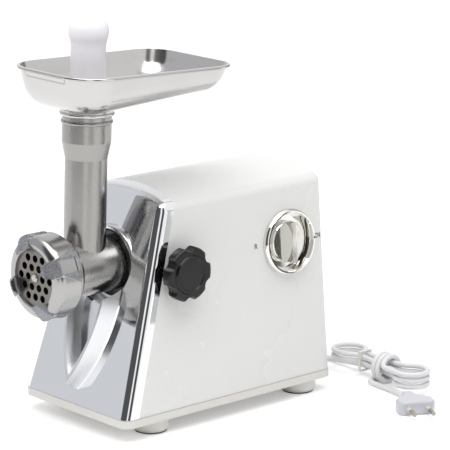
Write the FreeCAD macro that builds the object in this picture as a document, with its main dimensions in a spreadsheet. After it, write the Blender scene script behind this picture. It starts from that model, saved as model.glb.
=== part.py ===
import FreeCAD, Part
import math
import os

import Sketcher

os.makedirs("parts", exist_ok=True)
doc = FreeCAD.newDocument("MeatGrinder")
V = FreeCAD.Vector

# Driving sizes in millimetres and degrees. Y runs from front to back, Z up from the floor.
driving_sizes = (
    # housing, base and feet
    ("housing_length", "260"),
    ("bottom_width", "150"),
    ("shoulder_width", "116"),
    ("shoulder_height", "211.5"),
    ("crown_rise", "10"),
    ("shoulder_round", "10"),
    ("rear_round", "9"),
    ("housing_wall", "2.6"),
    ("base_bottom", "14"),
    ("base_top", "22"),
    ("base_floor", "3"),
    ("base_margin", "0.7"),
    ("base_rim", "7"),
    ("base_corner", "9.7"),
    ("foot_diameter", "34"),
    ("foot_span", "109"),
    ("foot_front", "83"),
    ("foot_rear", "104"),
    ("pad_diameter", "30"),
    ("pad_height", "5"),
    ("pad_recess", "1.5"),
    ("vent_length", "46"),
    ("vent_width", "4"),
    ("vent_pitch", "9"),
    ("vent_count", "6"),
    ("vent_rear_gap", "18"),
    # chrome front
    ("panel_lean", "17"),
    ("panel_depth", "15"),
    ("panel_wall", "2.5"),
    ("panel_round", "9"),
    ("socket_rim_radius", "36"),
    ("socket_lip_round", "2.6"),
    ("scoop_half_width", "33"),
    ("scoop_point", "13"),
    ("scoop_widest", "104"),
    ("scoop_top", "114"),
    ("scoop_height", "15"),
    ("rim_half_width", "24.5"),
    ("rim_point", "18"),
    ("scoop_wall", "2.6"),
    ("scoop_floor", "1.5"),
    ("scoop_floor_half_width", "15"),
    ("scoop_floor_point", "38"),
    ("scoop_inner_point", "25.8"),
    ("barrel_clearance", "2.5"),
    # grinding head, measured from the screw axis
    ("screw_axis_height", "150"),
    ("plate_diameter", "62"),
    ("plate_thickness", "8"),
    ("plate_front", "173.4"),
    ("plate_hole", "7"),
    ("plate_pitch", "10.3"),
    ("plate_rings", "2"),
    ("plate_opening", "55"),
    ("plate_gap", "0.3"),
    ("pin_radius", "4"),
    ("pin_clearance", "0.1"),
    ("nut_outer_radius", "38.6"),
    ("nut_lip", "3"),
    ("nut_length", "27"),
    ("nut_round", "8.5"),
    ("nut_lugs", "4"),
    ("lug_ramp", "4"),
    ("lug_back_gap", "2"),
    ("lug_length", "30"),
    ("lug_reach", "7"),
    ("lug_height", "2"),
    ("lug_tip", "9"),
    ("lug_tip_radius", "26.6"),
    ("lug_tip_wall", "1.8"),
    ("lug_base", "18"),
    ("lug_top", "11"),
    ("lug_crest", "1"),
    ("lug_angle", "25"),
    ("mouth_radius", "35"),
    ("mouth_length", "24"),
    ("barrel_radius", "26.5"),
    ("barrel_bore", "22.5"),
    ("neck_radius", "24.9"),
    ("neck_step", "2"),
    ("neck_end", "50"),
    ("neck_bore", "19"),
    ("journal_wall_front", "88"),
    ("journal_wall_rear", "72"),
    ("chute_front", "116.6"),
    ("chute_lean", "2"),
    ("chute_radius", "19.6"),
    ("chute_bore", "16.75"),
    ("chute_flare_start", "103"),
    ("chute_flare_end", "119"),
    ("chute_top", "149"),
    ("chute_top_radius", "22.8"),
    ("chute_top_bore", "19.8"),
    ("chute_bead", "2"),
    ("bead_round", "2.2"),
    # feed screw and knife
    ("screw_core", "10"),
    ("screw_radius", "21.9"),
    ("screw_pitch", "22"),
    ("screw_turns", "2.6"),
    ("screw_land", "5"),
    ("screw_land_foot", "8"),
    ("screw_land_tip", "4"),
    ("journal_radius", "9"),
    ("running_gap", "0.05"),
    ("drive_square", "11"),
    ("drive_square_gap", "0.15"),
    ("drive_square_end", "55"),
    ("knife_radius", "28"),
    ("knife_thickness", "8"),
    ("knife_square", "9"),
    ("knife_hub", "9.5"),
    ("knife_blade", "11"),
    ("knife_blades", "4"),
    ("knife_blade_thickness", "5.6"),
    ("knife_tip_lead", "3.85"),
    ("knife_tip_trail", "1.65"),
    ("knife_gap", "0.1"),
    ("key_width", "4"),
    ("key_height", "2.5"),
    # tray and pusher, measured along the chute axis
    ("tray_front", "50.4"),
    ("tray_rear", "130.9"),
    ("tray_front_width", "115"),
    ("tray_rear_width", "120.6"),
    ("tray_rim_height", "186.6"),
    ("tray_flare", "7"),
    ("tray_floor_rise", "16"),
    ("tray_floor_lift", "2.2"),
    ("tray_wall", "1.2"),
    ("tray_front_corner", "33"),
    ("tray_rear_corner", "26"),
    ("tray_bottom_round", "25"),
    ("tray_rim_width", "2.4"),
    ("tray_rim_thickness", "3"),
    ("tray_rim_round", "1.25"),
    ("tray_sleeve_depth", "6"),
    ("tray_sleeve_gap", "3.5"),
    ("slip_gap", "0.3"),
    ("pusher_radius", "16.2"),
    ("pusher_foot", "23"),
    ("pusher_neck", "205"),
    ("pusher_widest", "220.5"),
    ("pusher_shoulder", "232.3"),
    ("pusher_top", "233.4"),
    ("pusher_bulb_radius", "18.8"),
    ("pusher_crown_radius", "12.6"),
    ("pusher_wall", "2.2"),
    # head socket and lock
    ("socket_front", "86"),
    ("socket_rear", "44"),
    ("socket_radius", "31"),
    ("socket_flange", "8"),
    ("socket_tube_radius", "29.5"),
    ("socket_foot_radius", "36"),
    ("neck_gap", "0.08"),
    ("lock_y", "59.5"),
    ("lock_boss_radius", "10"),
    ("lock_radius", "5"),
    ("neck_flat_depth", "0.6"),
    ("lock_wall_hole", "8"),
    ("knob_radius", "25.8"),
    ("knob_thickness", "12"),
    ("knob_lobes", "6"),
    ("knob_scallop", "7.5"),
    ("knob_scallop_depth", "5"),
    ("knob_standoff", "9"),
    ("knob_edge", "3.5"),
    ("knob_ring_radius", "17.5"),
    ("knob_ring_height", "2"),
    ("knob_ring_width", "2"),
    ("knob_dish", "1.4"),
    # switch
    ("dial_y", "81"),
    ("dial_height", "154"),
    ("bezel_radius", "32"),
    ("bezel_height", "6"),
    ("bezel_ring", "4"),
    ("bezel_edge", "0.5"),
    ("bowl_draft", "3"),
    ("bowl_wall", "2"),
    ("dial_radius", "20"),
    ("dial_thickness", "5"),
    ("dial_bar_width", "9"),
    ("dial_bar_height", "8"),
    ("dial_bar_top", "6.3"),
    ("dial_bar_inset", "0.6"),
    ("dial_gap", "0.4"),
    ("dial_stem_radius", "4"),
    ("dial_stem_length", "15.6"),
    ("switch_width", "34"),
    ("switch_depth", "26"),
    ("switch_hole_depth", "20.8"),
    # gear train
    ("first_module", "0.9"),
    ("motor_teeth", "9"),
    ("idler_teeth", "72"),
    ("second_module", "1.5"),
    ("pinion_teeth", "9"),
    ("output_teeth", "54"),
    ("pressure_angle", "20"),
    ("pinion_shift", "0.45"),
    ("addendum", "0.85"),
    ("dedendum", "1.25"),
    ("backlash", "0.2"),
    ("pinion_overlap", "1"),
    ("web_recess", "4"),
    ("web_hub", "7"),
    ("web_rim", "7"),
    ("output_gear_front", "36"),
    ("output_gear_width", "14"),
    ("idler_gear_front", "18"),
    ("idler_gear_width", "8"),
    ("gear_case_gap", "3"),
    ("gear_case_wall", "4"),
    ("gear_case_rear", "2"),
    ("gear_case_foot", "60"),
    ("idler_shaft_radius", "5"),
    ("drive_shaft_radius", "9"),
    ("drive_nose_radius", "14"),
    ("drive_nose_front", "70"),
    ("bush_wall", "4"),
    ("bush_proud", "2"),
    ("ear_radius", "6"),
    # motor, lengths measured back from the gear case
    ("motor_shaft_radius", "4"),
    ("stator_width", "74"),
    ("stator_height", "70"),
    ("stator_bore", "21.5"),
    ("coil_inset", "0.5"),
    ("stator_front", "30"),
    ("stator_length", "38"),
    ("stator_corner", "10"),
    ("coil_overhang", "11"),
    ("coil_thickness", "9"),
    ("coil_gap", "2"),
    ("yoke", "6"),
    ("air_gap", "0.7"),
    ("armature_slots", "12"),
    ("slot_width", "3"),
    ("slot_depth", "7"),
    ("winding_overhang", "10"),
    ("winding_radius", "18"),
    ("fan_front", "9"),
    ("fan_hub_wall", "3"),
    ("fan_length", "9"),
    ("fan_radius", "27"),
    ("fan_blades", "9"),
    ("fan_blade", "1.6"),
    ("commutator_front", "81"),
    ("commutator_length", "15"),
    ("commutator_radius", "12"),
    ("commutator_bars", "24"),
    ("bar_slit", "0.7"),
    ("brush_width", "6.5"),
    ("brush_length", "12.5"),
    ("holder_wall", "2"),
    ("holder_gap", "2"),
    ("bearing_radius", "11"),
    ("bearing_length", "7"),
    ("bracket_front", "99"),
    ("bracket_thickness", "7"),
    ("bracket_width", "26"),
    ("cradle_thickness", "8"),
    # cord
    ("cord_diameter", "5.2"),
    ("cord_lay_gap", "0.8"),
    ("cord_exit_x", "-42"),
    ("cord_exit_height", "44"),
    ("relief_length", "28"),
    ("relief_radius", "6.5"),
    ("relief_flange", "2.5"),
    ("relief_tip", "1.7"),
    ("lead_straight", "32"),
    ("lead_joins", "72"),
    ("hank_x", "80"),
    ("hank_y", "186"),
    ("hank_heading", "-4"),
    ("hank_loops", "3"),
    ("hank_fold", "16"),
    ("hank_sweep", "26"),
    ("hank_waist_left", "14"),
    ("hank_waist_right", "26"),
    ("wrap_radius", "12.6"),
    ("wrap_turns", "2"),
    ("wrap_start", "22"),
    ("wrap_lean", "30"),
    ("wrap_lead", "10"),
    ("tail_straight", "8"),
    ("tail_turn", "10"),
    ("tail_bend", "52"),
    ("tail_reach", "30"),
    ("tie_width", "3"),
    ("tie_thickness", "1"),
    ("tie_slack", "0.8"),
    ("tie_back", "4"),
    ("plug_heading", "-24"),
    ("plug_length", "36"),
    ("plug_width", "35.3"),
    ("plug_thickness", "13.7"),
    ("plug_neck", "9"),
    ("plug_round", "2.5"),
    ("plug_neck_root", "13.5"),
    ("plug_neck_length", "10.8"),
    ("plug_shoulder", "21.6"),
    ("plug_face_edge", "3"),
    ("plug_face_bevel", "3.6"),
    ("pin_diameter", "4"),
    ("pin_length", "19"),
    ("pin_spacing", "18.6"),
    # fasteners
    ("screw_head_radius", "3.6"),
    ("screw_head_height", "2.4"),
    ("screw_shank_radius", "1.8"),
    ("screw_length", "12"),
    ("screw_gap", "0.2"),
    ("post_radius", "5.5"),
    ("post_height", "42"),
    ("post_x", "65.5"),
    ("post_front", "50"),
    ("post_rear", "106"),
)

sheet = doc.addObject("Spreadsheet::Sheet", "Sizes")
for row, (alias, text) in enumerate(driving_sizes, start=1):
    sheet.set(f"A{row}", alias)
    sheet.set(f"B{row}", text)
    sheet.setAlias(f"B{row}", alias)
doc.recompute()


class Size:
    """A number together with the sheet expression that gives it."""

    def __init__(self, value, text):
        self.value = float(value)
        self.text = text

    def __float__(self):
        return self.value

    def __add__(self, other):
        return Size(self.value + float(other), f"({self.text} + {words(other)})")

    __radd__ = __add__

    def __sub__(self, other):
        return Size(self.value - float(other), f"({self.text} - {words(other)})")

    def __rsub__(self, other):
        return Size(float(other) - self.value, f"({words(other)} - {self.text})")

    def __mul__(self, other):
        return Size(self.value * float(other), f"({self.text} * {words(other)})")

    __rmul__ = __mul__

    def __truediv__(self, other):
        return Size(self.value / float(other), f"({self.text} / {words(other)})")

    def __neg__(self):
        return Size(-self.value, f"(0 - {self.text})")


def words(value):
    return value.text if isinstance(value, Size) else repr(float(value))


def tangent(angle):
    return Size(math.tan(math.radians(angle)), f"tan({words(angle)})")


def sine(angle):
    return Size(math.sin(math.radians(angle)), f"sin({words(angle)})")


def cosine(angle):
    return Size(math.cos(math.radians(angle)), f"cos({words(angle)})")


class Sizes:
    """The sheet's sizes by name."""

    def __getattr__(self, alias):
        return Size(sheet.get(alias), f"Sizes.{alias}")


s = Sizes()
turns = {
    "x": FreeCAD.Rotation(V(0, 1, 0), 90),
    "y": FreeCAD.Rotation(V(1, 0, 0), -90),
    "z": FreeCAD.Rotation(),
}
planes = {
    "xy": (FreeCAD.Rotation(), V(0, 0, 1)),
    "yz": (FreeCAD.Rotation(V(0, 1, 0), V(0, 0, 1), V(1, 0, 0), "ZXY"), V(1, 0, 0)),
    "xz": (FreeCAD.Rotation(V(1, 0, 0), V(0, 0, 1), V(0, -1, 0), "ZXY"), V(0, 1, 0)),
}
nodes = {}


def place(thing, at, rotation=None):
    if rotation is not None:
        thing.Placement = FreeCAD.Placement(V(), rotation)
    for axis, value in zip("xyz", at):
        thing.setExpression(f"Placement.Base.{axis}", words(value))
    return thing


def cylinder(name, radius, height, at=(0, 0, 0), axis="z"):
    thing = doc.addObject("Part::Cylinder", name)
    thing.setExpression("Radius", words(radius))
    thing.setExpression("Height", words(height))
    return place(thing, at, turns[axis])


def cone(name, radius, end_radius, height, at=(0, 0, 0), axis="z"):
    thing = doc.addObject("Part::Cone", name)
    thing.setExpression("Radius1", words(radius))
    thing.setExpression("Radius2", words(end_radius))
    thing.setExpression("Height", words(height))
    return place(thing, at, turns[axis])


def block(name, low, high):
    thing = doc.addObject("Part::Box", name)
    for side, start, end in zip(("Length", "Width", "Height"), low, high):
        thing.setExpression(side, words(end - start))
    return place(thing, low)


def join(name, *things):
    thing = doc.addObject("Part::MultiFuse", name)
    thing.Shapes = list(things)
    thing.Refine = True
    return thing


def cut(name, base, *tools):
    thing = doc.addObject("Part::Cut", name)
    thing.Base = base
    thing.Tool = tools[0] if len(tools) == 1 else join(name + "_tools", *tools)
    thing.Refine = True
    return thing


def common(name, *things):
    thing = doc.addObject("Part::MultiCommon", name)
    thing.Shapes = list(things)
    return thing


def group(name, things):
    thing = doc.addObject("Part::Compound", name)
    thing.Links = list(things)
    return thing


def arc_between(start, end, radius):
    """The shorter arc, with its centre to the left of the way from start to end, or to the right of it."""
    chord = end - start
    half = chord.Length / 2
    left = V(-chord.y, chord.x, 0).normalize()
    rise = abs(radius) - math.sqrt(max(radius * radius - half * half, 0))
    middle = start + chord * 0.5 - left * math.copysign(rise, radius)
    return Part.Arc(start, middle, end)


def outline(name, points, plane="xy", at=(0, 0, 0)):
    """A closed sketch through points; a third number is the radius of the arc that ends there."""
    sketch = doc.addObject("Sketcher::SketchObject", name)
    corners = [V(float(p[0]), float(p[1]), 0) for p in points]
    count = len(points)
    ends = []
    for i in range(count):
        begin, finish = corners[i - 1], corners[i]
        if len(points[i]) == 3:
            geometry = arc_between(begin, finish, float(points[i][2]))
        else:
            geometry = Part.LineSegment(begin, finish)
        sketch.addGeometry(geometry, False)
        forward = (sketch.getPoint(i, 2) - finish).Length < 1e-6
        ends.append((1, 2) if forward else (2, 1))
    for i in range(count):
        after = (i + 1) % count
        sketch.addConstraint(Sketcher.Constraint("Coincident", i, ends[i][1], after, ends[after][0]))
    for i, point in enumerate(points):
        for kind, value in (("DistanceX", point[0]), ("DistanceY", point[1])):
            rule = Sketcher.Constraint(kind, -1, 1, i, ends[i][1], float(value))
            index = sketch.addConstraint(rule)
            if isinstance(value, Size):
                sketch.setExpression(f"Constraints[{index}]", value.text)
        if len(point) == 3:
            index = sketch.addConstraint(Sketcher.Constraint("Radius", i, abs(float(point[2]))))
            if isinstance(point[2], Size):
                sign = "" if float(point[2]) > 0 else "0 - "
                sketch.setExpression(f"Constraints[{index}]", sign + point[2].text)
    return place(sketch, at, planes[plane][0])


def prism(name, points, length, plane="xy", at=(0, 0, 0)):
    thing = doc.addObject("Part::Extrusion", name)
    thing.Base = outline(name + "_outline", points, plane, at)
    thing.DirMode = "Custom"
    thing.Dir = planes[plane][1]
    thing.setExpression("LengthFwd", words(length))
    thing.Solid = True
    return thing


def lathe(name, points, axis="y"):
    """A solid of revolution from points (along the axis, radius)."""
    thing = doc.addObject("Part::Revolution", name)
    if axis == "y":
        thing.Source = outline(name + "_outline", points, "yz")
        thing.Axis = V(0, 1, 0)
    elif axis == "x":
        thing.Source = outline(name + "_outline", points, "xz")
        thing.Axis = V(1, 0, 0)
    else:
        thing.Source = outline(name + "_outline", [(p[1], p[0]) + tuple(p[2:]) for p in points], "xz")
        thing.Axis = V(0, 0, 1)
    thing.Angle = 360
    thing.Solid = True
    return thing


def rounded_box(x0, y0, x1, y1, radius):
    return [
        (x1 - radius, y0),
        (x1, y0 + radius, radius),
        (x1, y1 - radius),
        (x1 - radius, y1, radius),
        (x0 + radius, y1),
        (x0, y1 - radius, radius),
        (x0, y0 + radius),
        (x0 + radius, y0, radius),
    ]


def fillet(name, base, radius, wanted):
    """Rounds the edges of base that wanted picks."""
    doc.recompute()
    thing = doc.addObject("Part::Fillet", name)
    thing.Base = base
    picked = [i for i, edge in enumerate(base.Shape.Edges, start=1) if wanted(edge)]
    thing.Edges = [(i, float(radius), float(radius)) for i in picked]
    return thing


def shape(name, solid):
    thing = doc.addObject("Part::Feature", name)
    thing.Shape = solid
    return thing


def turned_copies(name, base, count, axis, start=0.0):
    """Copies of base turned evenly about an axis through the origin."""
    copies = []
    for i in range(int(float(count))):
        copy = doc.addObject("Part::Compound", f"{name}_{i + 1}")
        copy.Links = [base]
        copy.Placement = FreeCAD.Placement(V(), FreeCAD.Rotation(axis, start + 360.0 * i / float(count)))
        copies.append(copy)
    return copies


# Derived places
half_bottom = s.bottom_width / 2
half_shoulder = s.shoulder_width / 2
side_slope = (half_bottom - half_shoulder) / (s.shoulder_height - s.base_top)
side_angle = math.degrees(math.atan(float(side_slope)))
front_end = s.housing_length / 2
crown_radius = (half_shoulder * half_shoulder + s.crown_rise * s.crown_rise) / (2 * s.crown_rise)
lock_wall_x = half_bottom - side_slope * (s.screw_axis_height - s.base_top)
dial_wall_x = half_bottom - side_slope * (s.dial_height - s.base_top)
knob_back_x = lock_wall_x + s.knob_standoff
knob_front_x = knob_back_x + s.knob_thickness + s.knob_ring_height
base_half_width = half_bottom + s.base_margin
base_half_length = front_end + s.base_margin
nose_y = s.plate_front + s.nut_lip + s.lug_reach
origin_x = (knob_front_x - base_half_width) / 2
origin_y = (base_half_length - nose_y) / 2
idler_height = s.screw_axis_height - s.second_module * (s.pinion_teeth + s.output_teeth) / 2
motor_height = idler_height - s.first_module * (s.motor_teeth + s.idler_teeth) / 2
floor_top = s.base_bottom + s.base_floor
far = 400
close = 0.01


def node(thing, label, at=(0, 0, 0), rotation=None):
    """Names a finished sub-part and puts it in the object's frame."""
    thing.Label = label
    place(thing, (at[0] - origin_x, at[1] - origin_y, at[2]), rotation)
    nodes[label] = thing
    return thing


def housing_form(name, inset):
    """The tapered, crowned body of the housing, drawn in by inset."""
    reach = half_bottom - inset
    shoulder = half_shoulder - inset
    top = s.shoulder_height - inset
    bottom = s.base_top
    profile = [
        (reach, bottom),
        (shoulder, top),
        (-shoulder, top, crown_radius),
        (-reach, bottom),
    ]
    start = -front_end - s.panel_depth
    bar = prism(name + "_bar", profile, 2 * front_end + s.panel_depth - inset, "xz", (0, start, 0))
    height = float(top)

    def along_shoulder(edge):
        box = edge.BoundBox
        return box.YLength > 50 and abs(box.ZMax - height) < close

    rounded = fillet(name + "_shoulders", bar, s.shoulder_round - inset, along_shoulder)
    rear = float(front_end - inset)
    foot = float(bottom)

    def around_rear(edge):
        box = edge.BoundBox
        return abs(box.YMin - rear) < close and box.YLength < close and box.ZMax - foot > close

    return fillet(name, rounded, s.rear_round - inset, around_rear)


def leaned(name, things, along=0.0):
    """Moves things drawn on an upright front onto the leaning panel plane."""
    thing = doc.addObject("Part::Compound", name)
    thing.Links = list(things)
    place(thing, (0, along - front_end, s.base_top), FreeCAD.Rotation(V(-1, 0, 0), float(s.panel_lean)))
    thing.setExpression("Placement.Rotation.Angle", words(s.panel_lean))
    return thing


# Base plate with its rim, foot bosses, vents and motor cradles
def base_plate():
    x1, y1 = base_half_width, base_half_length
    slab = prism("base_slab", rounded_box(-x1, -y1, x1, y1, s.base_corner), s.base_top - s.base_bottom,
                 "xy", (0, 0, s.base_bottom))
    x2, y2 = x1 - s.base_rim, y1 - s.base_rim
    well = prism("base_well", rounded_box(-x2, -y2, x2, y2, s.base_corner - s.base_rim), far,
                 "xy", (0, 0, floor_top))
    adds = []
    cuts = []
    for i, (x, y) in enumerate(foot_places()):
        adds.append(cylinder(f"foot_{i}", s.foot_diameter / 2,
                             s.base_bottom + s.base_floor / 2 - s.pad_height
                             + s.pad_recess, (x, y, s.pad_height - s.pad_recess)))
        cuts.append(cylinder(f"foot_recess_{i}", s.pad_diameter / 2, s.pad_recess,
                             (x, y, s.pad_height - s.pad_recess)))
    for i, (x, y) in enumerate(post_places()):
        adds.append(cylinder(f"base_post_{i}", s.post_radius, s.base_top - floor_top, (x, y, floor_top)))
        cuts.append(cylinder(f"base_screw_hole_{i}", s.screw_shank_radius + s.screw_gap, far, (x, y, 0)))
        cuts.append(cylinder(f"base_counterbore_{i}", s.screw_head_radius + s.slip_gap,
                             s.screw_head_height, (x, y, s.base_bottom)))
    stator_y = s.stator_front - s.gear_case_rear
    for i, y in enumerate((stator_y, stator_y + s.stator_length - s.cradle_thickness)):
        adds.append(block(f"cradle_{i}", (-s.stator_width / 2, y, floor_top - 1),
                          (s.stator_width / 2, y + s.cradle_thickness, motor_height - s.stator_height / 2)))
    last = stator_y + s.stator_length + s.vent_rear_gap
    for i in range(int(float(s.vent_count))):
        y = last + i * s.vent_pitch - s.vent_pitch * 2
        cuts.append(block(f"vent_{i}", (-s.vent_length / 2, y, 0),
                          (s.vent_length / 2, y + s.vent_width, floor_top)))
    body = cut("base_tray", slab, well)
    return node(cut("base", join("base_body", body, *adds), *cuts), "base_plate")


def foot_places():
    half = s.foot_span / 2
    return [(side * half, y) for y in (-s.foot_front, s.foot_rear) for side in (-1, 1)]


def post_places():
    return [(side * s.post_x, y) for y in (-s.post_front, s.post_rear) for side in (-1, 1)]


def foot_pads():
    pads = [cylinder(f"pad_{i}", s.pad_diameter / 2, s.pad_height, (x, y, 0))
            for i, (x, y) in enumerate(foot_places())]
    return node(group("pads", pads), "foot_pads")


# White housing shell: top, sides and back in one moulding
def main_housing():
    outer = housing_form("housing_outer", 0)
    inner = housing_form("housing_inner", s.housing_wall)
    ahead = leaned("housing_ahead", [block("housing_ahead_block", (-far, -far, -far),
                                           (far, s.panel_depth, far))])
    shell = cut("housing_shell", outer, inner, ahead)
    posts = []
    holes = []
    for i, (x, y) in enumerate(post_places()):
        posts.append(cylinder(f"housing_post_{i}", s.post_radius, s.post_height, (x, y, s.base_top)))
        holes.append(cylinder(f"housing_post_hole_{i}", s.screw_shank_radius, s.screw_length,
                              (x, y, s.base_top)))
    held = common("housing_posts", join("housing_post_set", *posts), outer)
    holes.append(cylinder("lock_hole", s.lock_wall_hole, far, (0, -s.lock_y, s.screw_axis_height), "x"))
    holes.append(side_tool("dial_hole", cylinder("dial_hole_drill",
                                                 s.bezel_radius - s.bezel_ring + s.bowl_wall
                                                 + s.slip_gap, far, (-s.housing_wall * 4, 0, 0), "x")))
    exit_y = front_end - s.housing_wall * 2
    holes.append(cylinder("cord_hole", s.relief_radius, far,
                          (s.cord_exit_x, exit_y, s.cord_exit_height), "y"))
    return node(cut("housing", join("housing_solid", shell, held), *holes), "main_housing")


def side_tool(name, thing):
    """Moves a tool drawn about the X axis onto the dial's place on the leaning side wall."""
    moved = doc.addObject("Part::Compound", name)
    moved.Links = [thing]
    return place(moved, (dial_wall_x, s.dial_y, s.dial_height), FreeCAD.Rotation(V(0, -1, 0), side_angle))


# Chrome front with rounded frame, socket opening and drop-shaped scoop
def drop_outline(name, half_width, point, top, along):
    rise = s.scoop_widest - point
    radius = (half_width * half_width + rise * rise) / (2 * half_width)
    points = [
        (half_width, s.scoop_widest, radius),
        (half_width, top),
        (-half_width, top),
        (-half_width, s.scoop_widest),
        (0, point, radius),
    ]
    return outline(name, points, "xz", (0, along, 0))


def drop(name, base, rim, depth):
    thing = doc.addObject("Part::Loft", name)
    thing.Sections = [drop_outline(name + "_base", *base, 0 - depth[0]),
                      drop_outline(name + "_rim", *rim, 0 - depth[1])]
    thing.Solid = True
    thing.Ruled = True
    return thing


def front_panel():
    form = housing_form("panel_form", 0)
    slab = leaned("panel_slab", [block("panel_slab_block", (-far, 0, -far), (far, s.panel_depth, far))])
    raw = common("panel_raw", form, slab)
    lean = math.radians(float(s.panel_lean))
    ahead = V(0, -math.cos(lean), math.sin(lean))
    foot = V(0, -float(front_end), float(s.base_top))

    def on_face(edge):
        near = all(abs((v.Point - foot).dot(ahead)) < close for v in edge.Vertexes)
        return near and edge.BoundBox.ZMax - foot.z > close

    rounded = fillet("panel_rounded", raw, s.panel_round, on_face)
    inner = housing_form("panel_inner", s.panel_wall)
    behind = leaned("panel_behind", [block("panel_behind_block", (-far, s.panel_wall, -far),
                                           (far, far, far))])
    hollow = common("panel_hollow", inner, behind)
    shell = cut("panel_shell", rounded, hollow)
    axis = (0, 0, s.screw_axis_height)
    mouth = s.socket_radius + s.slip_gap
    tube = cylinder("panel_tube", s.socket_rim_radius + s.panel_wall, far,
                    (0, -far / 2, s.screw_axis_height), "y")
    tube_room = common("panel_tube_room", rounded, tube)
    opening = cylinder("panel_opening", mouth, far, (0, -far / 2, axis[2]), "y")
    lip = lathe("panel_lip", [
        (-s.socket_front + s.panel_depth, mouth),
        (-s.socket_front, mouth),
        (-s.socket_front, s.socket_rim_radius, 0 - s.socket_lip_round),
        (-s.socket_front + s.panel_depth, s.socket_rim_radius),
    ])
    place(lip, axis)
    outside = drop("scoop_outside", (s.scoop_half_width, s.scoop_point, s.scoop_top),
                   (s.rim_half_width, s.rim_point, s.scoop_top), (-s.panel_wall / 2, s.scoop_height))
    wall = s.scoop_wall
    inside = drop("scoop_inside", (s.scoop_floor_half_width, s.scoop_floor_point, s.scoop_top + wall),
                  (s.rim_half_width - wall, s.scoop_inner_point, s.scoop_top + wall),
                  (s.scoop_floor, s.scoop_height + s.slip_gap))
    raised = leaned("scoop_raised", [outside])
    hollowed = leaned("scoop_hollowed", [inside])
    barrel_room = cylinder("scoop_barrel_room", s.barrel_radius + s.barrel_clearance, far,
                           (0, -far, axis[2]), "y")
    rim_room = cylinder("scoop_rim_room", s.socket_rim_radius, far, (0, -s.socket_front - far, axis[2]), "y")
    wall_set = join("panel_walls", shell, tube_room, raised)
    opened = cut("panel_opened", wall_set, opening, hollowed, barrel_room, rim_room)
    return node(join("panel", opened, lip), "front_panel")


# Grinding head, drawn about the screw axis and then raised to its height
plate_back = s.plate_front - s.plate_thickness
knife_back = plate_back - s.knife_thickness
mouth_front = s.plate_front - s.plate_thickness / 2
mouth_rear = mouth_front - s.mouth_length
at_axis = (0, 0, s.screw_axis_height)
chute_turn = FreeCAD.Rotation(V(-1, 0, 0), float(s.chute_lean))
chute_foot = (0, -s.chute_front, s.screw_axis_height)
sleeve_bottom = s.chute_top - s.tray_sleeve_depth
bead_top = sleeve_bottom - s.tray_sleeve_gap
bead_bottom = bead_top - 2 * s.chute_bead
sleeve_radius = s.chute_top_radius + s.slip_gap + s.tray_wall


def along_chute(name, things):
    """Leans things drawn about the Z axis onto the chute, in the head's own frame."""
    thing = doc.addObject("Part::Compound", name)
    thing.Links = list(things)
    place(thing, (0, -s.chute_front, 0), chute_turn)
    thing.setExpression("Placement.Rotation.Angle", words(s.chute_lean))
    return thing


def head_casting():
    waist = s.barrel_radius
    bulge = 2 * s.mouth_length
    outside = lathe("head_outside", [
        (-mouth_front, 0),
        (-mouth_front, s.mouth_radius),
        (-mouth_rear, s.mouth_radius),
        (-mouth_rear + s.mouth_radius - waist, waist, -bulge),
        (-s.socket_front - s.neck_step, (waist + s.neck_radius) / 2),
        (-s.socket_front, s.neck_radius),
        (-s.neck_end, s.neck_radius),
        (-s.neck_end, 0),
    ])
    bore = lathe("head_bore", [
        (-s.journal_wall_front, 0),
        (-s.journal_wall_front, s.barrel_bore),
        (-knife_back, s.barrel_bore),
        (-knife_back, s.plate_diameter / 2 + s.plate_gap),
        (-nose_y, s.plate_diameter / 2 + s.plate_gap),
        (-nose_y, 0),
    ])
    journal = cylinder("head_journal", s.journal_radius + s.running_gap, far,
                       (0, -s.journal_wall_front, 0), "y")
    neck_bore = cylinder("head_neck_bore", s.neck_bore, far, (0, -s.journal_wall_rear, 0), "y")
    flat_x = s.neck_radius - s.neck_flat_depth
    flat = block("head_flat", (flat_x, -s.socket_front + s.neck_step, -s.lock_radius - 1),
                 (flat_x + 2, -s.neck_end, s.lock_radius + 1))
    chute = along_chute("head_chute", [lathe("chute_outside", [
        (0, 0),
        (0, s.chute_radius),
        (s.chute_flare_start, s.chute_radius),
        (s.chute_flare_end, s.chute_top_radius),
        (bead_bottom, s.chute_top_radius),
        (bead_top, s.chute_top_radius, s.bead_round),
        (s.chute_top, s.chute_top_radius),
        (s.chute_top, 0),
    ], "z")])
    throat = along_chute("head_throat", [lathe("chute_inside", [
        (0, 0),
        (0, s.chute_bore),
        (s.chute_flare_start, s.chute_bore),
        (s.chute_flare_end, s.chute_top_bore),
        (s.chute_top + 1, s.chute_top_bore),
        (s.chute_top + 1, 0),
    ], "z")])
    key = block("head_key", (-s.key_width / 2, -mouth_front, -s.plate_diameter / 2 - 1),
                (s.key_width / 2, -plate_back, s.key_height - s.plate_diameter / 2))
    solid = join("head_solid", outside, chute)
    hollow = cut("head_hollow", solid, bore, journal, neck_bore, throat, flat)
    return node(join("head", hollow, key), "head_casting", at_axis)


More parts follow.
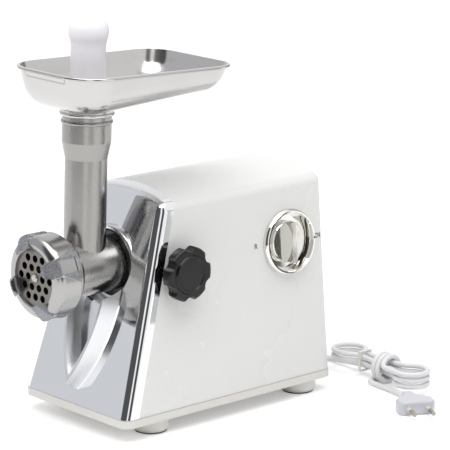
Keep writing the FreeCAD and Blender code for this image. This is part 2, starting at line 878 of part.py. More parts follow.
def feed_screw():
    """Tapered core with one helical flight, a journal, the drive square and the front pin."""
    front, rear = float(knife_back), float(s.journal_wall_front)
    turns_made = float(s.screw_turns)
    pitch = float(s.screw_pitch)
    land = float(s.screw_land)
    foot = float(s.screw_land_foot) / 2
    crest = float(s.screw_land_tip) / 2
    root = float(s.screw_core) - 2
    tip = float(s.screw_radius)
    length = turns_made * pitch
    helix = Part.makeHelix(pitch, length, tip)
    start = (front - rear - length - land) / 2
    section = Part.makePolygon([
        V(root, 0, -foot),
        V(tip, 0, -crest),
        V(tip, 0, crest),
        V(root, 0, foot),
        V(root, 0, -foot),
    ])
    flight = Part.Wire(helix).makePipeShell([section], True, True)
    flight.rotate(V(), V(1, 0, 0), 90)
    flight.translate(V(0, -rear - start - land / 2, 0))
    ends = Part.makeCylinder(tip + 1, front - rear, V(0, -front, 0), V(0, 1, 0))
    core = lathe("screw_core_turned", [
        (-s.plate_front - 2, 0),
        (-s.plate_front - 2, s.pin_radius - 1),
        (-s.plate_front - 1, s.pin_radius),
        (-plate_back, s.pin_radius),
        (-plate_back, s.knife_square / 2),
        (-knife_back, s.knife_square / 2),
        (-knife_back, s.screw_core - 1),
        (-s.journal_wall_front - 1, s.screw_core + 2),
        (-s.journal_wall_front - 1, s.journal_radius),
        (-s.journal_wall_rear, s.journal_radius),
        (-s.journal_wall_rear, s.drive_square / 2),
        (-s.drive_square_end, s.drive_square / 2),
        (-s.drive_square_end, 0),
    ])
    half = s.drive_square / 2
    tail = block("screw_square", (-half, -s.journal_wall_rear, -half), (half, -s.drive_square_end, half))
    seat = s.knife_square / 2
    front_square = block("screw_knife_square", (-seat, -plate_back, -seat), (seat, -knife_back, seat))
    flight_feature = shape("screw_flight", flight.common(ends))
    return node(join("screw", core, tail, front_square, flight_feature), "feed_screw", at_axis)


def cross_knife():
    hub = cylinder("knife_hub_disc", s.knife_hub, s.knife_thickness, (0, -plate_back, 0), "y")
    edge = s.knife_blade / 2
    blade = prism("knife_blade_bar", [
        (edge, 0),
        (s.knife_tip_lead, s.knife_radius),
        (-s.knife_tip_trail, s.knife_radius),
        (-edge, 0),
    ], s.knife_blade_thickness, "xz", (0, -plate_back, 0))
    blades = turned_copies("knife_blades", blade, s.knife_blades, V(0, 1, 0), 180 / float(s.knife_blades))
    seat = s.knife_square / 2 + s.knife_gap
    hole = block("knife_hole", (-seat, -nose_y, -seat), (seat, 0, seat))
    return node(cut("knife", join("knife_star", hub, *blades), hole), "cross_knife", at_axis)


def cutting_plate():
    """Hexagonal field of holes about the bearing hole for the screw's pin."""
    body = doc.addObject("PartDesign::Body", "PlateBody")
    disc = body.newObject("Sketcher::SketchObject", "PlateDisc")
    disc.AttachmentSupport = [(body.Origin.OriginFeatures[4], "")]
    disc.MapMode = "FlatFace"
    disc.addGeometry(Part.Circle(V(), V(0, 0, 1), float(s.plate_diameter) / 2), False)
    disc.addConstraint(Sketcher.Constraint("Coincident", 0, 3, -1, 1))
    disc.addConstraint(Sketcher.Constraint("Diameter", 0, float(s.plate_diameter)))
    disc.setExpression("Constraints[1]", s.plate_diameter.text)
    pad = body.newObject("PartDesign::Pad", "PlatePad")
    pad.Profile = disc
    pad.setExpression("Length", s.plate_thickness.text)
    doc.recompute()
    holes = body.newObject("Sketcher::SketchObject", "PlateHoles")
    holes.AttachmentSupport = [(body.Origin.OriginFeatures[4], "")]
    holes.MapMode = "FlatFace"
    pitch = s.plate_pitch
    rings = int(float(s.plate_rings))
    for row in range(-rings, rings + 1):
        longest = 2 * rings - abs(row)
        for column in range(longest + 1):
            across = column - longest / 2
            centre_hole = row == 0 and across == 0
            x, y = across * pitch, row * pitch * sine(60)
            radius = s.pin_radius + s.pin_clearance if centre_hole else s.plate_hole / 2
            index = holes.addGeometry(Part.Circle(V(float(x), float(y), 0), V(0, 0, 1), float(radius)),
                                      False)
            for kind, value in (("DistanceX", x), ("DistanceY", y)):
                rule = holes.addConstraint(Sketcher.Constraint(kind, -1, 1, index, 3, float(value)))
                holes.setExpression(f"Constraints[{rule}]", value.text)
            rule = holes.addConstraint(Sketcher.Constraint("Radius", index, float(radius)))
            holes.setExpression(f"Constraints[{rule}]", radius.text)
    pocket = body.newObject("PartDesign::Pocket", "PlatePocket")
    pocket.Profile = holes
    pocket.Type = "ThroughAll"
    pocket.Midplane = True
    body.Tip = pocket
    doc.recompute()
    notch = block("plate_notch", (-s.key_width / 2 - s.slip_gap, -far / 2, -s.plate_diameter),
                  (s.key_width / 2 + s.slip_gap, far / 2, s.key_height + s.slip_gap - s.plate_diameter / 2))
    return node(cut("plate", body, notch), "cutting_plate", (0, -plate_back, s.screw_axis_height))


def ring_nut():
    """Nut with a rounded nose and four cast lugs whose tips lean in over the mouth."""
    lip_front = s.plate_front + s.nut_lip
    inner = s.mouth_radius + s.slip_gap
    ring = lathe("nut_ring", [
        (-lip_front, s.plate_opening / 2 + 1),
        (-lip_front, s.nut_outer_radius - s.nut_round),
        (-lip_front + s.nut_round, s.nut_outer_radius, -s.nut_round),
        (-lip_front + s.nut_length - 1, s.nut_outer_radius),
        (-lip_front + s.nut_length, s.nut_outer_radius - 1),
        (-lip_front + s.nut_length, inner),
        (-s.plate_front, inner),
        (-s.plate_front, s.plate_opening / 2),
        (-lip_front + 1, s.plate_opening / 2),
    ])
    foot, tip, top = s.lug_base / 2, s.lug_tip / 2, s.lug_top / 2
    front = -lip_front - s.lug_reach
    crest = -s.plate_front + s.lug_crest
    plan = prism("nut_lug_plan", [
        (foot, front + s.lug_length),
        (-foot, front + s.lug_length),
        (-foot, crest),
        (-tip, front),
        (tip, front),
        (foot, crest),
    ], s.nut_outer_radius + s.lug_height, "xy")
    flanks = prism("nut_lug_flanks", [
        (foot, 0),
        (foot, s.nut_outer_radius),
        (top, s.nut_outer_radius + s.lug_height),
        (-top, s.nut_outer_radius + s.lug_height),
        (-foot, s.nut_outer_radius),
        (-foot, 0),
    ], s.lug_length, "xz", (0, front, 0))
    lug = common("nut_lug", plan, flanks)
    lugs = turned_copies("nut_lugs", lug, s.nut_lugs, V(0, 1, 0), -float(s.lug_angle))
    lug_end = -lip_front + s.nut_length - s.lug_back_gap
    outer = lathe("nut_lug_room", [
        (front, s.lug_tip_radius - s.lug_tip_wall),
        (front, s.lug_tip_radius),
        (crest, s.nut_outer_radius + s.lug_height),
        (lug_end - s.lug_ramp, s.nut_outer_radius + s.lug_height),
        (lug_end, s.nut_outer_radius),
        (lug_end, inner + 1),
        (-s.plate_front + s.lug_back_gap, inner + 1),
        (-lip_front + 1, s.plate_opening / 2 + 1),
        (-lip_front, s.plate_opening / 2 + 1),
    ])
    pads = common("nut_pads", join("nut_lug_set", *lugs), outer)
    return node(join("nut", ring, pads), "ring_nut", at_axis)


# Tray and pusher, drawn about the chute axis
def tray_corners(name, slab, inset):
    """Rounds the standing corners of the dish or its rim, the front pair wider than the rear pair."""

    def standing(edge):
        return edge.BoundBox.ZLength > 1 and edge.BoundBox.YLength < far / 10

    def at_front(edge):
        return standing(edge) and edge.BoundBox.YMax < 0

    def at_rear(edge):
        return standing(edge) and edge.BoundBox.YMin > 0

    front = fillet(name + "_front_corners", slab, s.tray_front_corner - inset, at_front)
    return fillet(name + "_rear_corners", front, s.tray_rear_corner - inset, at_rear)


def tray_rectangle(inset):
    return [
        (s.tray_front_width / 2 - inset, -s.tray_front + inset),
        (s.tray_rear_width / 2 - inset, s.tray_rear - inset),
        (-s.tray_rear_width / 2 + inset, s.tray_rear - inset),
        (-s.tray_front_width / 2 + inset, -s.tray_front + inset),
    ]


def tray_form(name, inset):
    """The open dish: a loft from the sloping floor outline up to the rim outline."""
    floor = s.chute_top + s.tray_floor_lift + inset
    rise = math.degrees(math.atan2(float(s.tray_floor_rise), float(s.tray_rear + s.tray_front)))
    low = outline(name + "_floor", tray_rectangle(inset + s.tray_flare), "xy", (0, 0, floor))
    low.Placement = FreeCAD.Placement(V(0, 0, float(floor)), FreeCAD.Rotation(V(1, 0, 0), rise))
    high = outline(name + "_rim", tray_rectangle(inset), "xy", (0, 0, s.tray_rim_height))
    dish = doc.addObject("Part::Loft", name + "_dish")
    dish.Sections = [low, high]
    dish.Solid = True
    dish.Ruled = True
    cornered = tray_corners(name, dish, inset)

    def around_floor(edge):
        return edge.BoundBox.ZMax < float(s.tray_rim_height) - float(s.tray_rim_thickness)

    return fillet(name, cornered, s.tray_bottom_round - inset, around_floor)


def tray():
    """Dish with a rolled rim and a beaded sleeve that slips over the chute."""
    outer = tray_form("tray_outer", 0)
    inner = tray_form("tray_inner", s.tray_wall)
    bar = prism("tray_roll_bar", tray_rectangle(0 - s.tray_rim_width), s.tray_rim_thickness, "xy",
                (0, 0, s.tray_rim_height - s.tray_rim_thickness))
    cornered = tray_corners("tray_roll", bar, 0 - s.tray_rim_width)

    def level(edge):
        return edge.BoundBox.ZLength < close

    rolled = fillet("tray_roll", cornered, s.tray_rim_round, level)
    sleeve = lathe("tray_sleeve", [
        (sleeve_bottom, 0),
        (sleeve_bottom, sleeve_radius),
        (sleeve_bottom + 2 * s.chute_bead, sleeve_radius, s.bead_round),
        (s.chute_top + s.tray_bottom_round, sleeve_radius),
        (s.chute_top + s.tray_bottom_round, 0),
    ], "z")
    solid = join("tray_solid", outer, rolled, sleeve)
    chute_room = cylinder("tray_chute_room", s.chute_top_radius + s.slip_gap,
                          s.tray_sleeve_depth + s.slip_gap, (0, 0, sleeve_bottom))
    hole = cylinder("tray_hole", s.chute_top_bore, far, (0, 0, 0))
    return node(cut("tray_cut", solid, inner, chute_room, hole), "tray", chute_foot, chute_turn)


def round_through(along, across):
    """Radius of the arc that starts along the axis and moves so far along it and across it."""
    return (along * along + across * across) / (2 * across)


def pusher():
    """Plain round stick, open below, that swells into a smooth bulb at the top."""
    half_rise = (s.pusher_widest - s.pusher_neck) / 2
    half_swell = (s.pusher_bulb_radius - s.pusher_radius) / 2
    ease = round_through(half_rise, half_swell)
    dome = round_through(s.pusher_shoulder - s.pusher_widest, s.pusher_bulb_radius - s.pusher_crown_radius)
    crown = round_through(s.pusher_crown_radius, s.pusher_top - s.pusher_shoulder)
    edge = s.pusher_wall / 2
    outside = lathe("pusher_outside", [
        (s.pusher_foot, 0),
        (s.pusher_foot, s.pusher_radius - edge),
        (s.pusher_foot + edge, s.pusher_radius),
        (s.pusher_neck, s.pusher_radius),
        (s.pusher_neck + half_rise, s.pusher_radius + half_swell, 0 - ease),
        (s.pusher_widest, s.pusher_bulb_radius, ease),
        (s.pusher_shoulder, s.pusher_crown_radius, dome),
        (s.pusher_top, 0, crown),
    ], "z")
    hollow = cylinder("pusher_hollow", s.pusher_radius - s.pusher_wall, s.pusher_neck - s.pusher_foot,
                      (0, 0, s.pusher_foot))
    return node(cut("pusher_cut", outside, hollow), "pusher", chute_foot, chute_turn)


# Head socket with the lock screw's boss, and the lock
def head_socket():
    tube = lathe("socket_tube", [
        (-s.socket_front, s.neck_radius + s.neck_gap),
        (-s.socket_front, s.socket_radius - 1),
        (-s.socket_front + 1, s.socket_radius),
        (-s.socket_front + s.socket_flange, s.socket_radius),
        (-s.socket_front + s.socket_flange, s.socket_tube_radius),
        (-s.socket_rear - s.gear_case_wall, s.socket_tube_radius),
        (-s.socket_rear - s.gear_case_wall, s.socket_foot_radius),
        (-s.socket_rear, s.socket_foot_radius),
        (-s.socket_rear, s.neck_radius + s.neck_gap),
    ])
    start = s.neck_radius + s.neck_gap * 2
    boss = cylinder("socket_boss", s.lock_boss_radius, lock_wall_x - s.housing_wall * 2 - start,
                    (start, -s.lock_y, 0), "x")
    bore = cylinder("socket_bore", s.neck_radius + s.neck_gap, far, (0, -far / 2, 0), "y")
    thread = cylinder("socket_thread", s.lock_radius + s.running_gap, far, (0, -s.lock_y, 0), "x")
    return node(cut("socket", join("socket_solid", tube, boss), bore, thread), "head_socket", at_axis)


def lock_screw():
    tip = s.neck_radius - s.neck_flat_depth + s.running_gap
    rod = cylinder("lock_rod", s.lock_radius, knob_back_x - tip, (tip, -s.lock_y, 0), "x")
    return node(rod, "lock_screw", (tip, -s.lock_y, s.screw_axis_height), turns["x"])


def lock_knob():
    """Scalloped grip with a raised ring round its dished face."""
    face = s.knob_thickness
    edge = s.knob_edge
    ring = s.knob_ring_radius
    top = face + s.knob_ring_height
    blank = lathe("knob_blank", [
        (0, 0),
        (0, s.knob_radius - edge),
        (edge, s.knob_radius, 0 - edge),
        (face - edge, s.knob_radius),
        (face, s.knob_radius - edge, 0 - edge),
        (face, ring + s.knob_ring_height / 2),
        (top, ring),
        (top, ring - s.knob_ring_width),
        (top - s.knob_dish, ring - s.knob_ring_width - s.knob_dish),
        (top - s.knob_dish, 0),
    ], "x")
    out = s.knob_radius + s.knob_scallop - s.knob_scallop_depth
    scallop = cylinder("knob_scallop_bar", s.knob_scallop, far, (-far / 2, 0, out), "x")
    scallops = turned_copies("knob_scallops", scallop, s.knob_lobes, V(1, 0, 0), 0)
    return node(cut("knob", blank, *scallops), "lock_knob", (knob_back_x, -s.lock_y, s.screw_axis_height))


# Switch, drawn about the X axis and set on the leaning side wall
dial_place = (dial_wall_x, s.dial_y, s.dial_height)
dial_turn = FreeCAD.Rotation(V(0, -1, 0), side_angle)
bowl_floor = s.bezel_height - 2 * s.dial_thickness
bowl_radius = s.bezel_radius - s.bezel_ring


def switch_bezel():
    ring = lathe("bezel_ring_turned", [
        (bowl_floor - s.bowl_wall, s.dial_stem_radius + s.dial_gap),
        (bowl_floor - s.bowl_wall, bowl_radius + s.bowl_wall),
        (0, bowl_radius + s.bowl_wall),
        (0, s.bezel_radius),
        (s.bezel_height / 2, s.bezel_radius),
        (s.bezel_height, s.bezel_radius - s.bezel_ring / 2, -s.bezel_height),
        (s.bezel_height, bowl_radius + s.bezel_edge),
        (s.bezel_height - 2 * s.bezel_edge, bowl_radius),
        (bowl_floor, bowl_radius - s.bowl_draft),
        (bowl_floor, s.dial_stem_radius + s.dial_gap),
    ], "x")
    return node(ring, "switch_bezel", dial_place, dial_turn)


def switch_dial():
    back = bowl_floor + s.dial_gap
    face = back + s.dial_thickness
    disc = lathe("dial_disc", [
        (back, 0),
        (back, s.dial_radius),
        (face - 1, s.dial_radius),
        (face, s.dial_radius - 1),
        (face, 0),
    ], "x")
    half = s.dial_bar_width / 2
    bar = prism("dial_bar", [
        (half, 0),
        (s.dial_bar_top / 2, s.dial_bar_height),
        (-s.dial_bar_top / 2, s.dial_bar_height),
        (-half, 0),
    ], 2 * s.dial_radius, "xy")
    bar_room = cylinder("dial_bar_room", s.dial_radius - s.dial_bar_inset, far, (-far / 2, 0, 0), "x")
    turned = doc.addObject("Part::Compound", "dial_bar_turned")
    turned.Links = [bar]
    place(turned, (face, 0, -s.dial_radius), FreeCAD.Rotation(V(0, -1, 0), V(1, 0, 0), V(0, 0, 1), "ZXY"))
    grip = common("dial_grip", turned, bar_room)
    stem = cylinder("dial_stem", s.dial_stem_radius, s.dial_stem_length, (back - s.dial_stem_length, 0, 0),
                    "x")
    return node(join("dial", disc, grip, stem), "switch_dial", dial_place, dial_turn)


def switch_module():
    back = bowl_floor - s.bowl_wall
    half = s.switch_width / 2
    case = block("switch_case", (back - s.switch_depth, -half, -half), (back, half, half))
    hole = cylinder("switch_hole", s.dial_stem_radius + s.dial_gap, s.switch_hole_depth,
                    (back - s.switch_hole_depth, 0, 0), "x")
    return node(cut("switch", case, hole), "switch_module", dial_place, dial_turn)


# Gear train about three axes, one above the other
def gear(name, module, teeth, shift, width, bore, phase):
    """Involute spur gear about the Y axis from Y = 0, with a tooth centred at the angle phase."""
    count = int(float(teeth))
    angle = math.radians(float(s.pressure_angle))
    m = float(module)
    pitch = m * count / 2
    base = pitch * math.cos(angle)
    tip = pitch + m * (float(s.addendum) + shift)
    root = pitch + m * (shift - float(s.dedendum))
    half_tooth = (math.pi / 2 + 2 * shift * math.tan(angle)) / count - float(s.backlash) / (4 * pitch)
    flank_start = max(root, base)

    def involute(a):
        return math.tan(a) - a

    def half_angle(radius):
        if radius <= base:
            return half_tooth + involute(angle)
        return half_tooth + involute(angle) - involute(math.acos(base / radius))

    def point(radius, at):
        return V(radius * math.cos(at), 0, radius * math.sin(at))

    edges = []
    last = None
    first = None
    for i in range(count):
        centre = math.radians(phase) + 2 * math.pi * i / count
        sides = []
        for side in (-1, 1):
            radii = [root, flank_start, (flank_start + tip) / 2, tip]
            sides.append([point(r, centre + side * half_angle(r)) for r in radii])
        rising, falling = sides
        if last is not None:
            edges.append(Part.makeLine(last, rising[0]))
        else:
            first = rising[0]
        if flank_start > root:
            edges.append(Part.makeLine(rising[0], rising[1]))
        edges.append(Part.Arc(rising[1], rising[2], rising[3]).toShape())
        edges.append(Part.makeLine(rising[3], falling[3]))
        edges.append(Part.Arc(falling[3], falling[2], falling[1]).toShape())
        if flank_start > root:
            edges.append(Part.makeLine(falling[1], falling[0]))
        last = falling[0]
    edges.append(Part.makeLine(last, first))
    blank = Part.Face(Part.Wire(edges)).extrude(V(0, float(width), 0))
    wheel = shape(name + "_teeth", blank)
    if bore is None:
        return wheel
    hole = cylinder(name + "_bore", bore, far, (0, -far / 2, 0), "y")
    return cut(name + "_bored", wheel, hole)


shift = float(s.pinion_shift)
toward_next = 90.0
case_front = s.socket_rear
case_back = s.gear_case_rear + s.gear_case_wall
output_tip = s.second_module * (s.output_teeth / 2 + s.addendum - s.pinion_shift)
idler_tip = s.first_module * (s.idler_teeth / 2 + s.addendum - s.pinion_shift)
pinion_tip = s.first_module * (s.motor_teeth / 2 + s.addendum + s.pinion_shift)


def half_tooth_turn(teeth):
    return 180.0 / float(teeth) - toward_next


def motor_pinion():
    start = s.idler_gear_front + s.pinion_overlap
    wheel = gear("motor_pinion_wheel", s.first_module, s.motor_teeth, shift,
                 s.idler_gear_width + 2 * s.pinion_overlap, None, toward_next)
    return node(wheel, "motor_pinion", (0, -start, motor_height))


def idler_gear():
    wheel = gear("idler_wheel", s.first_module, s.idler_teeth, -shift, s.idler_gear_width,
                 s.idler_shaft_radius, half_tooth_turn(s.idler_teeth))
    place(wheel, (0, -s.idler_gear_front, 0))
    pinion = gear("idler_pinion", s.second_module, s.pinion_teeth, shift,
                  s.output_gear_front - s.idler_gear_front, s.idler_shaft_radius, toward_next)
    place(pinion, (0, -s.output_gear_front, 0))
    return node(join("idler", wheel, pinion), "idler_gear", (0, 0, idler_height))


def idler_shaft():
    rod = cylinder("idler_rod", s.idler_shaft_radius, case_front - s.gear_case_rear, (0, 0, 0), "y")
    return node(rod, "idler_shaft", (0, -case_front, idler_height), turns["y"])


def output_gear():
    wheel = gear("output_wheel", s.second_module, s.output_teeth, -shift, s.output_gear_width,
                 s.drive_shaft_radius, half_tooth_turn(s.output_teeth))
    recesses = []
    for i, y in enumerate((0, s.output_gear_width - s.web_recess)):
        recesses.append(lathe(f"output_recess_{i}", [
            (y, s.drive_shaft_radius + s.web_hub),
            (y, output_tip - s.web_rim),
            (y + s.web_recess, output_tip - s.web_rim),
            (y + s.web_recess, s.drive_shaft_radius + s.web_hub),
        ]))
    return node(cut("output", wheel, *recesses), "output_gear",
                (0, -s.output_gear_front, s.screw_axis_height))


def drive_shaft():
    """Shaft whose nose carries the square socket for the feed screw."""
    shoulder = case_front + s.bush_proud + s.slip_gap
    body = lathe("drive_body", [
        (-s.drive_nose_front, 0),
        (-s.drive_nose_front, s.drive_nose_radius - 1),
        (-s.drive_nose_front + 1, s.drive_nose_radius),
        (-shoulder, s.drive_nose_radius),
        (-shoulder, s.drive_shaft_radius),
        (-s.gear_case_rear, s.drive_shaft_radius),
        (-s.gear_case_rear, 0),
    ])
    half = s.drive_square / 2 + s.drive_square_gap
    socket = block("drive_socket", (-half, -far, -half), (half, -s.drive_square_end + 1, half))
    return node(cut("drive", body, socket), "drive_shaft", at_axis)


def bush(name, start, length):
    return lathe(name, [
        (start, s.drive_shaft_radius + s.running_gap),
        (start, s.drive_shaft_radius + s.bush_wall),
        (start + length, s.drive_shaft_radius + s.bush_wall),
        (start + length, s.drive_shaft_radius + s.running_gap),
    ])


def drive_bushes():
    front = bush("front_bush", -case_front - s.bush_proud, s.gear_case_wall + 2 * s.bush_proud)
    rear = bush("rear_bush", -case_back - s.bush_proud, s.gear_case_wall + s.bush_proud)
    return node(group("bushes", [front, rear]), "drive_bushes", at_axis)


def ear_places():
    """Screw ears of the gear case as (x, height)."""
    reach = (output_tip + s.gear_case_gap + s.gear_case_wall) * sine(45)
    side = idler_tip + s.gear_case_gap + s.gear_case_wall
    return [(sign * reach, s.screw_axis_height + reach) for sign in (-1, 1)] + [
        (sign * side, idler_height) for sign in (-1, 1)]


def case_outline(name, start, length):
    """Solid with the gear case's outline, from Y = start."""
    wall = s.gear_case_gap + s.gear_case_wall
    parts = [
        cylinder(name + "_output", output_tip + wall, length, (0, start, s.screw_axis_height), "y"),
        cylinder(name + "_idler", idler_tip + wall, length, (0, start, idler_height), "y"),
        block(name + "_foot", (-s.gear_case_foot / 2, start, floor_top),
              (s.gear_case_foot / 2, start + length, idler_height)),
    ]
    for i, (x, z) in enumerate(ear_places()):
        parts.append(cylinder(f"{name}_ear_{i}", s.ear_radius, length, (x, start, z), "y"))
    return join(name, *parts)


def case_screw_holes(name, radius, start, length):
    return [cylinder(f"{name}_{i}", radius, length, (x, start, z), "y") for i,
            (x, z) in enumerate(ear_places())]


def gear_case_front():
    deep = case_front - case_back
    solid = case_outline("case_front_solid", -case_front, deep)
    room = deep - s.gear_case_wall
    start = s.gear_case_wall - case_front
    rooms = [
        cylinder("case_output_room", output_tip + s.gear_case_gap, room,
                 (0, start, s.screw_axis_height), "y"),
        cylinder("case_idler_room", idler_tip + s.gear_case_gap, room, (0, start, idler_height), "y"),
        cylinder("case_pinion_room", pinion_tip + s.gear_case_gap, room, (0, start, motor_height), "y"),
        cylinder("case_bush_room", s.drive_shaft_radius + s.bush_wall, far,
                 (0, -far, s.screw_axis_height), "y"),
        cylinder("case_idler_hole", s.idler_shaft_radius + s.running_gap, far, (0, -far, idler_height),
                 "y"),
    ]
    holes = case_screw_holes("case_thread", s.screw_shank_radius, -case_back - s.screw_length,
                             s.screw_length)
    boss = lathe("case_idler_boss", [
        (-case_front + s.gear_case_wall / 2, s.idler_shaft_radius + s.running_gap),
        (-case_front + s.gear_case_wall / 2, s.idler_shaft_radius + s.bush_wall),
        (-s.output_gear_front - s.gear_case_gap / 2, s.idler_shaft_radius + s.bush_wall),
        (-s.output_gear_front - s.gear_case_gap / 2, s.idler_shaft_radius + s.running_gap),
    ])
    place(boss, (0, 0, idler_height))
    hollow = cut("case_front_hollow", solid, *rooms, *holes)
    return node(join("case_front_cup", hollow, boss), "gear_case_front")


def gear_case_rear():
    solid = case_outline("case_rear_solid", -case_back, s.gear_case_wall)
    seat = cylinder("case_bearing_boss", s.bearing_radius + s.gear_case_wall / 2, s.gear_case_wall
                    + s.bearing_length, (0, -case_back, motor_height), "y")
    holes = case_screw_holes("case_clear", s.screw_shank_radius + s.screw_gap, -far / 2, far)
    holes += [
        cylinder("case_bearing_room", s.bearing_radius, far, (0, -s.gear_case_rear, motor_height), "y"),
        cylinder("case_motor_hole", s.motor_shaft_radius + 2, far, (0, -far / 2, motor_height), "y"),
        cylinder("case_rear_bush_room", s.drive_shaft_radius + s.bush_wall, far,
                 (0, -far / 2, s.screw_axis_height), "y"),
        cylinder("case_rear_idler_hole", s.idler_shaft_radius + s.running_gap, far,
                 (0, -far / 2, idler_height), "y"),
    ]
    return node(cut("case_rear", join("case_rear_body", solid, seat), *holes), "gear_case_rear")


# Motor about its own axis, behind the gear case
at_motor = (0, -s.gear_case_rear, motor_height)
stator_back = s.stator_front + s.stator_length
motor_screw_x = s.stator_width / 2 - s.ear_radius / 2


def ring_solid(name, start, end, inner, outer):
    return lathe(name, [(start, inner), (start, outer), (end, outer), (end, inner)])


def motor_shaft():
    start = s.gear_case_rear - s.idler_gear_front + s.idler_gear_width + s.pinion_overlap
    end = s.bracket_front + s.bracket_thickness
    rod = cylinder("motor_rod", s.motor_shaft_radius, end - start, (0, 0, 0), "y")
    return node(rod, "motor_shaft", (0, start - s.gear_case_rear, motor_height), turns["y"])


armature_radius = s.stator_bore - s.air_gap


def slot_bars(name, tip, depth, width, start, length):
    bar = block(name + "_bar", (-width / 2, start, tip - depth), (width / 2, start + length, tip))
    return turned_copies(name, bar, s.armature_slots, V(0, 1, 0))


def armature_core():
    core = ring_solid("core_ring", s.stator_front, stator_back, s.motor_shaft_radius, armature_radius)
    slots = slot_bars("core_slots", armature_radius + 1, s.slot_depth + 1, s.slot_width, s.stator_front,
                      s.stator_length)
    return node(cut("core", core, *slots), "armature_core", at_motor)


def armature_windings():
    hub = s.motor_shaft_radius
    over = s.winding_overhang
    front = ring_solid("winding_front", s.stator_front - over, s.stator_front, hub, s.winding_radius)
    rear = ring_solid("winding_rear", stator_back, stator_back + over, hub, s.winding_radius)
    bars = slot_bars("winding_bars", armature_radius - 1, s.slot_depth - 1, s.slot_width, s.stator_front,
                     s.stator_length)
    return node(join("windings", front, rear, *bars), "armature_windings", at_motor)


def commutator():
    end = s.commutator_front + s.commutator_length
    drum = ring_solid("commutator_drum", s.commutator_front, end, s.motor_shaft_radius, s.commutator_radius)
    slit = block("commutator_slit", (-s.bar_slit / 2, s.commutator_front, s.commutator_radius - 2),
                 (s.bar_slit / 2, end, s.commutator_radius + 1))
    slits = turned_copies("commutator_slits", slit, s.commutator_bars, V(0, 1, 0))
    return node(cut("commutator_cut", drum, *slits), "commutator", at_motor)


def cooling_fan():
    end = s.fan_front + s.fan_length
    bore = s.motor_shaft_radius
    hub = ring_solid("fan_hub", s.fan_front, end, bore, bore + s.fan_hub_wall)
    disc = ring_solid("fan_disc", s.fan_front, s.fan_front + s.fan_blade, s.motor_shaft_radius,
                      s.fan_radius)
    blade = block("fan_blade_bar", (-s.fan_blade / 2, s.fan_front, s.motor_shaft_radius + 1),
                  (s.fan_blade / 2, end, s.fan_radius))
    blades = turned_copies("fan_blades_set", blade, s.fan_blades, V(0, 1, 0))
    return node(join("fan", hub, disc, *blades), "cooling_fan", at_motor)


coil_inner = s.stator_bore - s.coil_inset
coil_outer = coil_inner + s.coil_thickness
coil_low = s.coil_thickness - 1
coil_high = s.stator_height / 2 - s.yoke


def stator_core():
    x, z = s.stator_width / 2, s.stator_height / 2
    stack = prism("stator_stack", rounded_box(-x, -z, x, z, s.stator_corner), s.stator_length, "xz",
                  (0, s.stator_front, 0))
    bore = cylinder("stator_bore_cut", s.stator_bore, far, (0, -far / 2, 0), "y")
    windows = []
    for i, (side, up) in enumerate(((1, 1), (-1, 1), (1, -1), (-1, -1))):
        xs = sorted((side * coil_inner, side * coil_outer), key=float)
        zs = sorted((up * coil_low, up * coil_high), key=float)
        windows.append(block(f"stator_window_{i}", (xs[0], 0, zs[0]), (xs[1], far, zs[1])))
    holes = [cylinder(f"stator_hole_{side + 1}", s.screw_shank_radius, far,
                      (side * motor_screw_x, 0, 0), "y")
             for side in (-1, 1)]
    return node(cut("stator", stack, bore, *windows, *holes), "stator_core", at_motor)


def field_coils():
    start, end = s.stator_front - s.coil_overhang, stator_back + s.coil_overhang
    room = cylinder("coil_room", s.stator_bore, far, (0, -far / 2, 0), "y")
    coils = []
    for up in (1, -1):
        zs = sorted((up * coil_low, up * coil_high), key=float)
        outer = block(f"coil_outer_{up + 1}", (-coil_outer, start, zs[0]), (coil_outer, end, zs[1]))
        pole = block(f"coil_pole_{up + 1}", (-coil_inner, s.stator_front - s.coil_gap, zs[0]),
                     (coil_inner, stator_back + s.coil_gap, zs[1]))
        coils.append(cut(f"coil_{up + 1}", outer, pole, room))
    return node(group("coils", coils), "field_coils", at_motor)


def bearing(name, start):
    return ring_solid(name, start, start + s.bearing_length, s.motor_shaft_radius + s.running_gap,
                      s.bearing_radius)


def motor_bearings():
    pair = [bearing("bearing_front", 0), bearing("bearing_rear", s.bracket_front)]
    return node(group("bearings", pair), "motor_bearings", at_motor)


def motor_bracket():
    half = s.stator_width / 2
    high = s.bracket_width / 2
    end = s.bracket_front + s.bracket_thickness
    bar = prism("bracket_bar", rounded_box(-half, -high, half, high, s.stator_corner),
                s.bracket_thickness, "xz",
                (0, s.bracket_front, 0))
    posts = [cylinder(f"bracket_post_{side + 1}", s.ear_radius, s.bracket_front - stator_back,
                      (side * motor_screw_x, stator_back, 0), "y") for side in (-1, 1)]
    holes = [cylinder(f"bracket_hole_{side + 1}", s.screw_shank_radius + s.screw_gap, far,
                      (side * motor_screw_x, 0, 0), "y") for side in (-1, 1)]
    seat = cylinder("bracket_seat", s.bearing_radius, far, (0, s.bracket_front, 0), "y")
    return node(cut("bracket", join("bracket_body", bar, *posts), seat, *holes), "motor_bracket", at_motor)


def brush_holders():
    y = s.commutator_front + s.commutator_length / 2
    half = s.brush_width / 2
    out = half + s.holder_wall
    holders = []
    for side in (1, -1):
        xs = sorted((side * (s.commutator_radius + s.holder_gap),
                     side * (s.commutator_radius + s.brush_length)),
                    key=float)
        case = block(f"holder_case_{side + 1}", (xs[0], y - out, -out), (xs[1], s.bracket_front, out))
        slot = block(f"holder_slot_{side + 1}", (-far, y - half, -half), (far, y + half, half))
        holders.append(cut(f"holder_{side + 1}", case, slot))
    return node(group("holders", holders), "brush_holders", at_motor)


